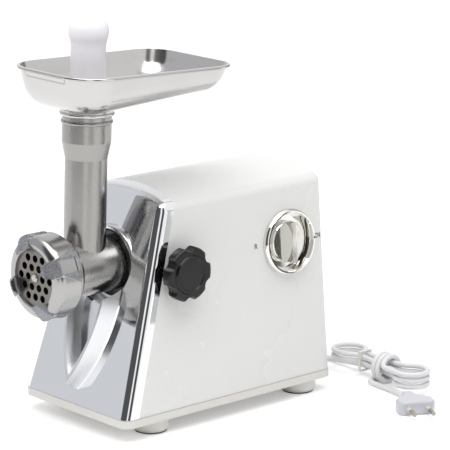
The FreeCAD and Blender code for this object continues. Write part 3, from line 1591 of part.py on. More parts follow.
def carbon_brushes():
    y = s.commutator_front + s.commutator_length / 2
    half = s.brush_width / 2
    face = cylinder("brush_face", s.commutator_radius + s.running_gap, far, (0, 0, 0), "y")
    brushes = []
    for side in (1, -1):
        xs = sorted((side * (s.commutator_radius - 1),
                     side * (s.commutator_radius + s.brush_length - 2)), key=float)
        stick = block(f"brush_stick_{side + 1}", (xs[0], y - half, -half), (xs[1], y + half, half))
        brushes.append(cut(f"brush_{side + 1}", stick, face))
    return node(group("brushes", brushes), "carbon_brushes", at_motor)


# Fasteners
def screw(name, length):
    """A pan-head screw about the Z axis, its head below Z = 0 and its shank above."""
    head = cylinder(name + "_head", s.screw_head_radius, s.screw_head_height, (0, 0, -s.screw_head_height))
    shank = cylinder(name + "_shank", s.screw_shank_radius, length, (0, 0, 0))
    return join(name, head, shank)


def screw_set(label, places, rotation, length):
    pieces = []
    for i, at in enumerate(places):
        piece = screw(f"{label}_{i}", length)
        pieces.append(place(piece, at, rotation))
    return node(group(label + "_set", pieces), label)


def base_screws():
    seat = s.base_bottom + s.screw_head_height
    length = s.base_top + s.screw_length - seat
    return screw_set("base_screws", [(x, y, seat) for x, y in post_places()], None, length)


def gear_case_screws():
    places = [(x, -s.gear_case_rear, z) for x, z in ear_places()]
    return screw_set("gear_case_screws", places, FreeCAD.Rotation(V(1, 0, 0), 90),
                     s.gear_case_wall + s.screw_length)


def motor_screws():
    y = s.bracket_front + s.bracket_thickness - s.gear_case_rear
    places = [(side * motor_screw_x, y, motor_height) for side in (-1, 1)]
    return screw_set("motor_screws", places, FreeCAD.Rotation(V(1, 0, 0), 90),
                     s.bracket_front + s.bracket_thickness - stator_back + s.screw_length / 2)


# Cord: strain relief, lead, hank with its wound turns, tail and plug
cord_radius = s.cord_diameter / 2
lay = float(s.cord_diameter + s.cord_lay_gap)
hank_turn = FreeCAD.Rotation(V(0, 0, 1), float(s.hank_heading))
at_hank = (s.hank_x, s.hank_y, 0)
hank_low = float(s.wrap_radius + cord_radius) - lay * (float(s.hank_loops) - 1) / 2


def strain_relief():
    tip = s.relief_length
    body = lathe("relief_body", [
        (-s.housing_wall, 0),
        (-s.housing_wall, s.relief_radius),
        (0, s.relief_radius),
        (0, s.relief_radius + s.relief_flange),
        (s.relief_flange, s.relief_radius + s.relief_flange),
        (s.relief_flange, s.relief_radius),
        (tip, cord_radius + s.relief_tip),
        (tip, 0),
    ])
    return node(body, "strain_relief", (s.cord_exit_x, front_end, s.cord_exit_height))


def biarc(start, start_way, end, end_way):
    """Two arcs in space that leave start along start_way and reach end along end_way."""
    gap = end - start
    ways = start_way + end_way
    spread = 2 * (1 - start_way.dot(end_way))
    reach = gap.dot(ways)
    if spread < 1e-9:
        if (gap - start_way * gap.dot(start_way)).Length < 1e-6:
            return [Part.LineSegment(start, end)]
        step = gap.dot(gap) / (4 * gap.dot(end_way))
    else:
        step = (math.sqrt(reach * reach + spread * gap.dot(gap)) - reach) / spread
    first, second = start + start_way * step, end - end_way * step
    middle = (first + second) * 0.5
    return [tangent_arc(start, start_way, middle), tangent_arc(middle, (second - first).normalize(), end)]


def tangent_arc(start, way, end):
    """The arc from start to end that leaves start along way."""
    chord = end - start
    side = chord - way * chord.dot(way)
    if side.Length < 1e-6:
        return Part.LineSegment(start, end)
    normal = side.normalize()
    radius = chord.dot(chord) / (2 * chord.dot(normal))
    centre = start + normal * radius
    halfway = (start + end) * 0.5 - centre
    if chord.dot(way) < 0:
        halfway = -halfway
    if halfway.Length < 1e-6:
        halfway = way
    return Part.Arc(start, centre + halfway.normalize() * radius, end)


def tube(name, curves):
    """A round cord swept along curves that join smoothly."""
    path = Part.Wire([curve.toShape() for curve in curves])
    begin = curves[0].value(curves[0].FirstParameter)
    way = curves[0].tangent(curves[0].FirstParameter)[0]
    ring = Part.Wire(Part.Circle(begin, way, float(cord_radius)).toShape())
    solid = path.makePipeShell([ring], True, False)
    area = math.pi * float(cord_radius) ** 2
    print(name, "length", round(path.Length, 1), "volume over section", round(solid.Volume / area, 1))
    return shape(name, solid), path


# Share of a straight run that the bend at either end of it may take
bend_share = 0.45


def free_run(name, points):
    """Straight runs through points, joined by tangent arcs."""
    curves = []
    begin = points[0]
    for before, corner, after in zip(points, points[1:], points[2:]):
        into = (corner - before).normalize()
        out = (after - corner).normalize()
        half_turn = into.getAngle(out) / 2
        shorter = min((corner - before).Length, (after - corner).Length)
        radius = bend_share * shorter / math.tan(half_turn)
        print(name, "bend radius", round(radius, 1), "turn", round(math.degrees(2 * half_turn)))
        setback = radius * math.tan(half_turn)
        enter, leave = corner - into * setback, corner + out * setback
        curves.append(Part.LineSegment(begin, enter))
        curves.append(tangent_arc(enter, into, leave))
        begin = leave
    curves.append(Part.LineSegment(begin, points[-1]))
    return tube(name, curves)


def hank_stations():
    """Points and directions of the hank about its own middle: loops, then turns wound round them."""
    left, right = -float(s.hank_waist_left), float(s.hank_waist_right)
    fold = float(s.hank_fold)
    sweep = float(s.hank_sweep)
    half = lay / 2
    climb = lay / (right - left + 2 * sweep)
    ahead, back = V(1, 0, 0), V(-1, 0, 0)
    climbing = V(-1, 0, climb).normalize()
    stations = []
    loops = int(float(s.hank_loops))
    for i in range(loops):
        z = hank_low + i * lay
        stations.append((V(left, half, z), ahead))
        stations.append((V(right, half, z), ahead))
        stations.append((V(right + sweep, fold, z), ahead))
        stations.append((V(right + sweep + fold, 0, z), V(0, -1, 0)))
        stations.append((V(right + sweep, -fold, z), back))
        if i < loops - 1:
            top = z + lay
            stations.append((V(right, -half, z + climb * sweep), climbing))
            stations.append((V(left, -half, top - climb * sweep), climbing))
            stations.append((V(left - sweep, -fold, top), back))
            stations.append((V(left - sweep - fold, 0, top), V(0, 1, 0)))
            stations.append((V(left - sweep, fold, top), ahead))
    radius = float(s.wrap_radius)
    middle = float(cord_radius) + radius
    start, lean = float(s.wrap_start), float(s.wrap_lean)
    first = math.radians(lean)
    lift = float(s.wrap_lead)
    stations.append((V(start + lift, -radius * math.sin(first) - lift * math.cos(first),
                       middle + radius * math.cos(first) - lift * math.sin(first)), back))
    last = -180 - 360 * float(s.wrap_turns)
    steps = math.ceil((lean - last) / 90)
    for step in range(steps + 1):
        angle = lean + (last - lean) * step / steps
        turn = math.radians(angle)
        along = start - lay * (lean - angle) / 360
        drift = 0 if step == steps else -lay / (2 * math.pi * radius)
        way = V(drift, math.cos(turn), math.sin(turn))
        stations.append((V(along, -radius * math.sin(turn), middle + radius * math.cos(turn)),
                         way.normalize()))
    end = stations[-1][0]
    turn = float(s.tail_turn)
    aside = end.y - float(s.tail_straight)
    stations.append((V(end.x, aside, end.z), V(0, -1, 0)))
    stations.append((V(end.x + turn, aside - turn, end.z), ahead))
    return stations


def least_gap(path):
    """Least clear distance of a cord to itself, measured on points along it."""
    step = 1.0
    points = path.discretize(Distance=step)
    skip = int(math.pi * float(s.cord_diameter) / step)
    least = min((a - b).Length for i, a in enumerate(points) for b in points[i + skip:])
    return least - float(s.cord_diameter)


def to_hank(point):
    return hank_turn.multVec(point) + V(float(s.hank_x), float(s.hank_y), 0)


def cord_hank():
    stations = hank_stations()
    curves = []
    for (start, way), (end, end_way) in zip(stations, stations[1:]):
        curves += biarc(start, way, end, end_way)
    solid, path = tube("hank", curves)
    print("hank least gap to itself", round(least_gap(path), 2))
    return node(solid, "cord_hank", at_hank, hank_turn)


def cord_lead():
    first = to_hank(hank_stations()[0][0])
    along = hank_turn.multVec(V(1, 0, 0))
    flat = float(cord_radius)
    tip = V(float(s.cord_exit_x), float(front_end + s.relief_length), float(s.cord_exit_height))
    near = to_hank(V(-float(s.lead_joins), lay / 2, flat))
    landing = V(tip.x, near.y, flat)
    drop_start = V(tip.x, tip.y + float(s.lead_straight), tip.z)
    climb_end = first - along * float(s.cord_diameter) * 2
    solid, path = free_run("lead", [tip, drop_start, landing, near, climb_end, first])
    return node(solid, "cord_lead")


def plug_place():
    """Middle of the plug's neck and the way the plug points, about the hank's own middle."""
    start = hank_stations()[-1][0]
    way = FreeCAD.Rotation(V(0, 0, 1), float(s.plug_heading)).multVec(V(1, 0, 0))
    bend = V(float(s.tail_bend), start.y, 0)
    return bend + way * float(s.tail_reach) + V(0, 0, float(s.plug_thickness) / 2), way


def cord_tail():
    start = hank_stations()[-1][0]
    neck, way = plug_place()
    points = [
        start,
        V(float(s.tail_bend), start.y, start.z),
        neck - way * 2 * float(s.cord_diameter),
        neck,
    ]
    solid, path = free_run("tail", points)
    return node(solid, "cord_tail", at_hank, hank_turn)


def at_plug(thing, label):
    neck, way = plug_place()
    here = to_hank(neck)
    turn = FreeCAD.Rotation(V(0, 0, 1), float(s.hank_heading + s.plug_heading))
    return node(thing, label, (here.x, here.y, here.z), turn)


def plug_body():
    """Flat two-pin plug with a narrow neck that widens to its face."""
    half = s.plug_width / 2
    neck = s.plug_neck / 2
    root = s.plug_neck_root / 2
    length = s.plug_length
    blank = prism("plug_blank", [
        (0, -neck),
        (s.plug_neck_length, -root),
        (s.plug_shoulder, -half),
        (length - s.plug_face_bevel, -half),
        (length, -half + s.plug_face_edge),
        (length, half - s.plug_face_edge),
        (length - s.plug_face_bevel, half),
        (s.plug_shoulder, half),
        (s.plug_neck_length, root),
        (0, neck),
    ], s.plug_thickness, "xy", (0, 0, -s.plug_thickness / 2))

    def level(edge):
        return edge.BoundBox.ZLength < close

    body = fillet("plug_rounded", blank, s.plug_round, level)
    return at_plug(body, "plug_body")


def plug_pins():
    pins = [cylinder(f"pin_{side + 1}", s.pin_diameter / 2, s.pin_length,
                     (s.plug_length, side * s.pin_spacing / 2, 0), "x") for side in (-1, 1)]
    return at_plug(group("pins", pins), "plug_pins")


def cord_tie():
    """Flat strap drawn round the hank's waist."""
    half = lay / 2 + float(cord_radius) + float(s.tie_slack)
    low = hank_low - float(cord_radius) - float(s.tie_slack)
    high = hank_low + (float(s.hank_loops) - 1) * lay + float(cord_radius) + float(s.tie_slack)
    wide = float(s.tie_thickness)
    across = float(s.tie_width)
    place_x = -float(s.hank_waist_left) - float(s.tie_back)
    outer = Part.makeBox(across, 2 * half + 2 * wide, high - low + 2 * wide,
                         V(place_x, -half - wide, low - wide))
    inner = Part.makeBox(across, 2 * half, high - low, V(place_x, -half, low))
    return node(shape("tie", outer.cut(inner)), "cord_tie", at_hank, hank_turn)


makers = (
    base_plate, foot_pads, main_housing, front_panel, head_casting, feed_screw, cross_knife, cutting_plate,
    ring_nut, tray, pusher, head_socket, lock_screw, lock_knob, switch_bezel, switch_dial, switch_module,
    motor_pinion, idler_gear, idler_shaft, output_gear, drive_shaft, drive_bushes, gear_case_front,
    gear_case_rear, motor_shaft, armature_core, armature_windings, commutator, cooling_fan, stator_core,
    field_coils, motor_bearings, motor_bracket, brush_holders, carbon_brushes, base_screws, gear_case_screws,
    motor_screws, strain_relief, cord_lead, cord_hank, cord_tail, cord_tie, plug_body, plug_pins,
)
for maker in makers:
    maker()
doc.recompute()

faults = [thing.Name for thing in doc.Objects if "Invalid" in thing.State or "Error" in thing.State]
faults += [label for label, thing in nodes.items() if thing.Shape.isNull() or not thing.Shape.isValid()]
if faults:
    raise RuntimeError("faulty: " + ", ".join(faults))

os.makedirs("parts", exist_ok=True)
for label, thing in nodes.items():
    thing.Shape.exportStep(f"parts/{label}.step")
print(len(nodes), "parts written")
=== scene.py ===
import math

import bmesh
import bpy
from mathutils import Matrix, Vector


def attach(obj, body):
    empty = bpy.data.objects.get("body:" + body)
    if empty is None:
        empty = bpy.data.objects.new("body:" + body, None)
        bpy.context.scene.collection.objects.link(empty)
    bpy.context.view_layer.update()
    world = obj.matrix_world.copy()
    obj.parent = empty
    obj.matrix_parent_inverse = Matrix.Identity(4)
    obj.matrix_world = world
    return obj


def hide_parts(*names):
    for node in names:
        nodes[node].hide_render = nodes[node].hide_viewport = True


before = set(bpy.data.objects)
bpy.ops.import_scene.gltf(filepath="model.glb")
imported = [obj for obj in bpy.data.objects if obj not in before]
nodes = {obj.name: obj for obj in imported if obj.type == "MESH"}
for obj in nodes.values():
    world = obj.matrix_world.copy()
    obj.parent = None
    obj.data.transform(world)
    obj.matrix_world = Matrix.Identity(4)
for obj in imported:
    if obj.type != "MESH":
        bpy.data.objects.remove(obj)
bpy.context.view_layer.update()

scene = bpy.context.scene
mm = 0.001
shift = Vector((-5.409, 26.35, 0))  # from the grinder's own mid plane to the shared frame, mm


def place(x, y, z):
    return (Vector((x, y, z)) + shift) * mm


# camera, as solved from the photograph: place and sensor in mm, focal length and frame in pixels, clipEnd in m
cameraSizes = {
    "at": (1813.8, -1569.0, 763.3), "azimuth": 48.12, "elevation": 13.86, "roll": 0.21,
    "focal": 2607, "frame": 450, "sensor": 36, "clipEnd": 30,
}


def makeCamera():
    az, el, roll = (math.radians(cameraSizes[k]) for k in ("azimuth", "elevation", "roll"))
    side = Vector((math.cos(az), math.sin(az), 0))
    ahead = Vector((-math.sin(az) * math.cos(el), math.cos(az) * math.cos(el), -math.sin(el)))
    over = side.cross(ahead)
    right = side * math.cos(roll) + over * math.sin(roll)
    up = over * math.cos(roll) - side * math.sin(roll)
    data = bpy.data.cameras.new("photoCamera")
    data.sensor_fit = "HORIZONTAL"
    data.sensor_width = cameraSizes["sensor"]
    data.lens = cameraSizes["sensor"] * cameraSizes["focal"] / cameraSizes["frame"]
    data.clip_end = cameraSizes["clipEnd"]
    camera = bpy.data.objects.new("photoCamera", data)
    turn = Matrix((right, up, -ahead)).transposed().to_4x4()
    camera.matrix_world = Matrix.Translation(place(*cameraSizes["at"])) @ turn
    scene.collection.objects.link(camera)
    scene.camera = camera


makeCamera()
print("camera set")


class Socket:
    # a node's socket that can stand in a sum
    def __init__(self, tree, out):
        self.tree, self.out = tree, out

    def node(self, kind, settings=None, inputs=None, out=0):
        made = self.tree.nodes.new(kind)
        for key, value in (settings or {}).items():
            setattr(made, key, value)
        for key, value in (inputs or {}).items():
            if isinstance(value, Socket):
                self.tree.links.new(value.out, made.inputs[key])
            else:
                made.inputs[key].default_value = value
        return Socket(self.tree, made.outputs[out])

    def maths(self, operation, *others):
        return self.node("ShaderNodeMath", {"operation": operation}, dict(enumerate((self, *others))))

    def __add__(self, other):
        return self.maths("ADD", other)

    def __mul__(self, other):
        return self.maths("MULTIPLY", other)

    def __sub__(self, other):
        return self.maths("SUBTRACT", other)

    def __rsub__(self, other):
        return self.node("ShaderNodeMath", {"operation": "SUBTRACT"}, {0: other, 1: self})

    def __truediv__(self, other):
        return self.maths("DIVIDE", other)

    __radd__ = __add__
    __rmul__ = __mul__

    def smooth(self, low, high):
        return self.node("ShaderNodeMapRange", {"interpolation_type": "SMOOTHSTEP"},
                         {"Value": self, "From Min": low, "From Max": high})

    def band(self, middle, half, soft):
        # 1 within half of middle, easing to 0 over soft
        return 1 - (self - middle).maths("ABSOLUTE").smooth(half, half + soft)

    def noise(self, scale, detail=2.0):
        return self.node("ShaderNodeTexNoise", {}, {"Vector": self, "Scale": scale, "Detail": detail}, "Fac")

    def moved(self, at=(0, 0, 0), turn=(0, 0, 0), scale=(1, 1, 1)):
        return self.node("ShaderNodeMapping", {"vector_type": "POINT"},
                         {"Vector": self, "Location": at, "Rotation": turn, "Scale": scale})

    def parts(self):
        split = self.node("ShaderNodeSeparateXYZ", {}, {"Vector": self}).out.node
        return [Socket(self.tree, out) for out in split.outputs]

    def mixed(self, low, high):
        return self.node("ShaderNodeMix", {"data_type": "RGBA"}, {0: self, 6: low, 7: high}, 2)

    def bump(self, strength, distance):
        return self.node("ShaderNodeBump", {},
                         {"Height": self, "Strength": strength, "Distance": distance}, "Normal")


def finish(name, colour, **sockets):
    # plain numbers go on the shader's sockets; the rest is fed from Object coordinates, in metres
    material = bpy.data.materials.new(name)
    material.use_nodes = True
    tree = material.node_tree
    shader = tree.nodes["Principled BSDF"]
    shader.inputs["Base Color"].default_value = (*colour, 1)
    for key, value in sockets.items():
        shader.inputs[key].default_value = value
    where = Socket(tree, tree.nodes.new("ShaderNodeTexCoord").outputs["Object"])

    def feed(key, source):
        tree.links.new(source.out, shader.inputs[key])

    return material, where, feed


def tint(colour, amount):
    return tuple(min(1, c * amount) for c in colour) + (1,)


def paint(material, *names):
    for name in names:
        slots = nodes[name].data.materials
        slots.clear()
        slots.append(material)


def aboutAxis(where, x, z):
    # distance from a line along Y through (x, z) of the shared frame, and the angle about it
    px, _, pz = where.moved(at=(-x, 0, -z)).parts()
    return (px * px + pz * pz).maths("SQRT"), pz.maths("ARCTAN2", px)


# mains lead: straight out of its relief, down to the floor, folded into a hank, wound round itself, then the plug;
# lengths in mm, angles in degrees, length in m
cordSizes = {
    "diameter": 5.2, "lay": 6.0, "exit": (-42, 158, 44), "straight": 32, "joins": 72,
    "hankAt": (80, 186), "heading": -4, "loops": 3, "fold": 16, "sweep": 26, "left": -14, "right": 26,
    "wrapRadius": 12.6, "wrapTurns": 2, "wrapStart": 22, "wrapLean": 30, "wrapLead": 10, "wrapStep": 60,
    "tailStraight": 8, "tailTurn": 10, "tailBend": 52, "tailReach": 30, "plugHeading": -24, "plugThick": 13.7,
    "length": 1.222, "order": 3, "steps": 10, "roundSteps": 6,
}
cordColours = {"plain": (0.76, 0.76, 0.77), "dark": (0.74, 0.74, 0.75, 1), "light": (0.79, 0.79, 0.80, 1)}
parallel, inLine = 1e-9, 1e-6  # below these a bend counts as straight


def atHank(point):
    heading = math.radians(cordSizes["heading"])
    x, y = cordSizes["hankAt"]
    return Vector((x + point.x * math.cos(heading) - point.y * math.sin(heading),
                   y + point.x * math.sin(heading) + point.y * math.cos(heading), point.z))


def hankStations():
    c = cordSizes
    lay, half, left, right, fold, sweep = c["lay"], c["lay"] / 2, c["left"], c["right"], c["fold"], c["sweep"]
    middle = c["diameter"] / 2 + c["wrapRadius"]
    low = middle - lay * (c["loops"] - 1) / 2
    climb = lay / (right - left + 2 * sweep)
    ahead, back, inward, outward = Vector((1, 0, 0)), Vector((-1, 0, 0)), Vector((0, 1, 0)), Vector((0, -1, 0))
    climbing = Vector((-1, 0, climb)).normalized()
    stations = []
    for i in range(c["loops"]):
        z = low + i * lay
        stations += [
            (Vector((left, half, z)), ahead),
            (Vector((right, half, z)), ahead),
            (Vector((right + sweep, fold, z)), ahead),
            (Vector((right + sweep + fold, 0, z)), outward),
            (Vector((right + sweep, -fold, z)), back),
        ]
        if i < c["loops"] - 1:
            top = z + lay
            stations += [
                (Vector((right, -half, z + climb * sweep)), climbing),
                (Vector((left, -half, top - climb * sweep)), climbing),
                (Vector((left - sweep, -fold, top)), back),
                (Vector((left - sweep - fold, 0, top)), inward),
                (Vector((left - sweep, fold, top)), ahead),
            ]
    radius, lean, lead = c["wrapRadius"], c["wrapLean"], c["wrapLead"]
    first = math.radians(lean)
    stations.append((Vector((c["wrapStart"] + lead, -radius * math.sin(first) - lead * math.cos(first),
                             middle + radius * math.cos(first) - lead * math.sin(first))), back))
    last = -180 - 360 * c["wrapTurns"]
    steps = math.ceil((lean - last) / c["wrapStep"])
    for step in range(steps + 1):
        angle = lean + (last - lean) * step / steps
        turn = math.radians(angle)
        drift = 0 if step == steps else -lay / (2 * math.pi * radius)
        wound = Vector((c["wrapStart"] - lay * (lean - angle) / 360, -radius * math.sin(turn),
                        middle + radius * math.cos(turn)))
        stations.append((wound, Vector((drift, math.cos(turn), math.sin(turn))).normalized()))
    end = stations[-1][0]
    aside = end.y - c["tailStraight"]
    stations += [(Vector((end.x, aside, end.z)), outward),
                 (Vector((end.x + c["tailTurn"], aside - c["tailTurn"], end.z)), ahead)]
    return stations


def bendCorners(start, way, end, endWay):
    # the two corners of the bend that leaves start along way and reaches end along endWay
    gap = end - start
    spread = 2 * (1 - way.dot(endWay))
    reach = gap.dot(way + endWay)
    if spread < parallel:
        if (gap - way * gap.dot(way)).length < inLine:
            return []
        step = gap.dot(gap) / (4 * gap.dot(endWay))
    else:
        step = (math.sqrt(reach * reach + spread * gap.dot(gap)) - reach) / spread
    return [start + way * step, end - endWay * step]


def plugNeck():
    c = cordSizes
    start = hankStations()[-1][0]
    heading = math.radians(c["plugHeading"])
    way = Vector((math.cos(heading), math.sin(heading), 0))
    return Vector((c["tailBend"], start.y, c["plugThick"] / 2)) + way * c["tailReach"], way


def cordRoute():
    c = cordSizes
    flat = c["diameter"] / 2
    stations = hankStations()
    first = atHank(stations[0][0])
    along = atHank(Vector((1, 0, 0))) - atHank(Vector((0, 0, 0)))
    tip = Vector(c["exit"])
    near = atHank(Vector((-c["joins"], c["lay"] / 2, flat)))
    points = [tip, tip + Vector((0, c["straight"], 0)), Vector((tip.x, near.y, flat)), near,
              first - along * c["diameter"] * 2]
    for (start, way), (end, endWay) in zip(stations, stations[1:]):
        points += [atHank(corner) for corner in bendCorners(start, way, end, endWay)]
    neck, way = plugNeck()
    end = stations[-1][0]
    points += [atHank(Vector((c["tailBend"], end.y, end.z))), atHank(neck - way * c["diameter"] * 2),
               atHank(neck)]
    return [place(*point) for point in points]


def makeCord():
    data = bpy.data.curves.new("mainsLead", "CURVE")
    data.dimensions = "3D"
    route = cordRoute()
    spline = data.splines.new("NURBS")
    spline.points.add(len(route) - 1)
    for point, at in zip(spline.points, route):
        point.co = (*at, 1)
    spline.order_u = cordSizes["order"]
    spline.use_endpoint_u = True
    spline.resolution_u = cordSizes["steps"]
    data.bevel_depth = cordSizes["diameter"] / 2 * mm
    data.bevel_resolution = cordSizes["roundSteps"]
    data.use_fill_caps = True
    lead = bpy.data.objects.new("mainsLead", data)
    scene.collection.objects.link(lead)
    material, where, feed = finish("cordSheath", cordColours["plain"], IOR=1.5)
    feed("Roughness", where.noise(60, 2) * 0.12 + 0.34)
    feed("Base Color", where.noise(25, 2).mixed(cordColours["dark"], cordColours["light"]))
    feed("Normal", where.noise(1500, 2).bump(0.08, 0.0003))
    data.materials.append(material)
    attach(lead, "housing")
    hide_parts("cord_lead", "cord_hank", "cord_tail")


makeCord()
print("lead laid")


# moulded plastics
plasticIor = 1.46


def mouldedPlastic(name, colour, rough, grain=900, depth=0.02):
    material, where, feed = finish(name, colour, IOR=plasticIor)
    patches = where.noise(9, 3)
    feed("Base Color", patches.mixed(tint(colour, 0.993), tint(colour, 1.006)))
    feed("Roughness", patches * 0.06 + (rough - 0.03))
    feed("Normal", where.noise(grain, 1).bump(depth, 0.0004))
    return material


seamSizes = {"half": 0.3, "soft": 0.25, "strength": 0.4}


def seamedBase(name, colour, seam, seamAt):
    # cream base with the dark line of its joint under the housing
    material, where, feed = finish(name, colour, IOR=plasticIor)
    patches = where.noise(11, 3)
    line = where.parts()[2].band(seamAt * mm, seamSizes["half"] * mm, seamSizes["soft"] * mm)
    plain = patches.mixed(tint(colour, 0.98), tint(colour, 1.01))
    feed("Base Color", (line * seamSizes["strength"]).mixed(plain, (*seam, 1)))
    feed("Roughness", patches * 0.08 + 0.34)
    feed("Normal", where.noise(800, 1).bump(0.03, 0.0004))
    return material


def grainedBlack(name, colour, rough, grain, depth):
    # spark-eroded black: pale flecks where the grain catches light
    material, where, feed = finish(name, colour, IOR=1.4)
    flecks = where.noise(grain, 3)
    feed("Base Color", flecks.smooth(0.55, 0.75).mixed(tint(colour, 0.8), tint(colour, 1.9)))
    feed("Roughness", flecks * 0.2 + (rough - 0.1))
    feed("Normal", flecks.bump(depth, 0.0006))
    return material


# metals
def polishedMetal(name, colour, rough, ripple=0.03, scratch=0.05, hairs=(1, 1, 0.06)):
    material, where, feed = finish(name, colour, Metallic=1.0)
    broad = where.noise(26, 2)
    hair = where.moved(scale=hairs).noise(1400, 2)
    feed("Base Color", broad.mixed(tint(colour, 0.94), tint(colour, 1.03)))
    feed("Roughness", broad * 0.06 + hair * scratch + (rough - 0.03))
    feed("Normal", (broad * 0.6 + hair * 0.02).bump(ripple, 0.004))
    return material


nutSizes = {
    "axis": (0, 150), "lugs": 4, "lugAngle": 25, "crest": -172.4, "crestSoft": (-0.6, 0.2), "nose": -176.8,
    "noseSoft": 0.8, "claw": 8.5, "clawSoft": (-0.6, 0.4), "clawFrom": (25, 27), "ribTop": 5.6, "ribRoot": 1,
    "flankSpread": 0.45, "flankSoft": 0.7,
}


def castNut(name, polished, raw):
    # claws and the flanks of their ribs keep the grain of the mould, the rest is polished
    n = nutSizes
    material, where, feed = finish(name, polished, Metallic=1.0)
    centre = place(n["axis"][0], n["crest"], n["axis"][1])
    out, angle = aboutAxis(where, centre.x, centre.z)
    sector = 2 * math.pi / n["lugs"]
    around = (angle - math.radians(n["lugAngle"]) + sector / 2).maths("FLOORED_MODULO", sector) - sector / 2
    aside = around.maths("ABSOLUTE") * out
    behind = where.parts()[1] - centre.y
    ahead = 1 - behind.smooth(*(edge * mm for edge in n["crestSoft"]))
    aboveMouth = out.smooth(*(radius * mm for radius in n["clawFrom"]))
    claw = ahead * (1 - aside.smooth(*((n["claw"] + edge) * mm for edge in n["clawSoft"]))) * aboveMouth
    noseAt = n["nose"] - n["crest"]
    tip = 1 - behind.smooth((noseAt - n["noseSoft"]) * mm, noseAt * mm)
    spread = behind * n["flankSpread"] + (n["ribTop"] + n["ribRoot"]) * mm
    besideTop = aside.smooth(n["ribTop"] * mm, (n["ribTop"] + n["flankSoft"]) * mm)
    flank = (1 - ahead) * besideTop * (1 - (aside - spread).smooth(0.0, n["flankSoft"] * mm))
    rawShare = claw.maths("MAXIMUM", tip).maths("MAXIMUM", flank)
    sand = where.noise(900, 3)
    broad = where.noise(30, 2)
    bright = broad.mixed(tint(polished, 0.93), tint(polished, 1.03))
    dull = sand.smooth(0.3, 0.7).mixed(tint(raw, 0.62), tint(raw, 1.25))
    feed("Base Color", rawShare.mixed(bright, dull))
    feed("Roughness", rawShare * 0.28 + broad * 0.08 + 0.16)
    feed("Normal", (rawShare * sand + broad * 0.05).bump(0.55, 0.0009))
    return material


ringsPerMetre = 9000  # as an angle, in radians


def turnedPlate(name, colour, axisAt):
    # facing-cut rings about the axis
    material, where, feed = finish(name, colour, Metallic=1.0)
    centre = place(axisAt[0], 0, axisAt[1])
    out, _ = aboutAxis(where, centre.x, centre.z)
    rings = (out * ringsPerMetre).maths("SINE")
    broad = where.noise(60, 3)
    feed("Base Color", broad.mixed(tint(colour, 0.85), tint(colour, 1.12)))
    feed("Roughness", broad * 0.14 + 0.26)
    feed("Normal", rings.bump(0.06, 0.0002))
    return material


panelSizes = {"foot": (-130, 22), "lean": 17, "scoopHalf": 46, "scoopSoft": 6, "shallow": 0.5, "deep": 2.5}


def chromePanel(name, colour):
    # plated face, its scoop and lip less bright than its flat: painted shade in the recess, and rougher there
    s = panelSizes
    material, where, feed = finish(name, colour, Metallic=1.0)
    foot = place(0, s["foot"][0], s["foot"][1])
    lean = math.radians(s["lean"])
    x, y, z = where.moved(at=tuple(-foot)).parts()
    depth = y * math.cos(lean) - z * math.sin(lean)
    offFace = depth.maths("ABSOLUTE").smooth(s["shallow"] * mm, s["deep"] * mm)
    scoopShadeMask = offFace * x.band(0.0, s["scoopHalf"] * mm, s["scoopSoft"] * mm)
    broad = where.noise(18, 2)
    # painted shade: the scoop and lip are darkened towards 0.84 of the plating colour
    feed("Base Color", (scoopShadeMask * 0.85 + broad * 0.15).mixed(tint(colour, 1.02), tint(colour, 0.84)))
    feed("Roughness", scoopShadeMask * 0.19 + broad * 0.02 + 0.035)
    feed("Normal", broad.bump(0.012, 0.004))
    return material


traySizes = {
    "slotHalf": 26, "slotRound": 2.5, "slotAt": 181.8, "line": 0.5, "lineSoft": 0.5, "edge": 0.4, "chuteY": -116.6,
    "axisZ": 150, "lean": 2, "front": -38, "frontSoft": 1,
}


def pressedTray(name, colour):
    # polished sheet with a long stamped slot under the rim of its front wall, its outline a line of painted shade
    t = traySizes
    material, where, feed = finish(name, colour, Metallic=1.0)
    foot = place(0, t["chuteY"], t["axisZ"])
    lean = math.radians(t["lean"])
    local = where.moved(at=tuple(-foot)).moved(turn=(lean, 0, 0))
    x, y, up = local.parts()
    beyond = (x.maths("ABSOLUTE") - t["slotHalf"] * mm).maths("MAXIMUM", 0.0)
    rise = up - t["slotAt"] * mm
    reach = (beyond * beyond + rise * rise).maths("SQRT")
    atFront = 1 - y.smooth((t["front"] - t["frontSoft"]) * mm, t["front"] * mm)
    line = reach.band(t["slotRound"] * mm, t["line"] * mm, t["lineSoft"] * mm) * atFront
    inside = (1 - reach.smooth((t["slotRound"] - t["edge"]) * mm, t["slotRound"] * mm)) * atFront
    broad = where.noise(22, 2)
    hair = where.moved(scale=(1, 0.05, 1)).noise(1500, 2)
    plain = broad.mixed(tint(colour, 0.94), tint(colour, 1.03))
    # painted shade: the slot's outline on the front wall darkens towards 0.45 of the sheet colour
    feed("Base Color", (line * 0.55).mixed(plain, tint(colour, 0.45)))
    feed("Roughness", broad * 0.07 + hair * 0.05 + 0.13)
    feed("Normal", (broad * 0.35 + hair * 0.02 - inside * 0.12).bump(0.05, 0.004))
    return material


pinSizes = {"neck": (157.106, 150.332, 6.85), "heading": -28, "face": 36, "sleeve": 7.5, "soft": 0.15}


def sleevedPins(name, brass, sleeve):
    # bare metal tips, the half next to the plug moulded over
    material, where, feed = finish(name, brass)
    neck = place(*pinSizes["neck"])
    along = where.moved(at=tuple(-neck)).moved(turn=(0, 0, -math.radians(pinSizes["heading"]))).parts()[0]
    edge = (pinSizes["face"] + pinSizes["sleeve"]) * mm
    bare = along.smooth(edge - pinSizes["soft"] * mm, edge + pinSizes["soft"] * mm)
    worn = where.noise(700, 2)
    feed("Base Color", bare.mixed((*sleeve, 1), worn.mixed(tint(brass, 0.85), tint(brass, 1.1))))
    feed("Metallic", bare)
    feed("Roughness", worn * 0.12 + 0.2)
    return material


soleSoft = 0.2  # mm


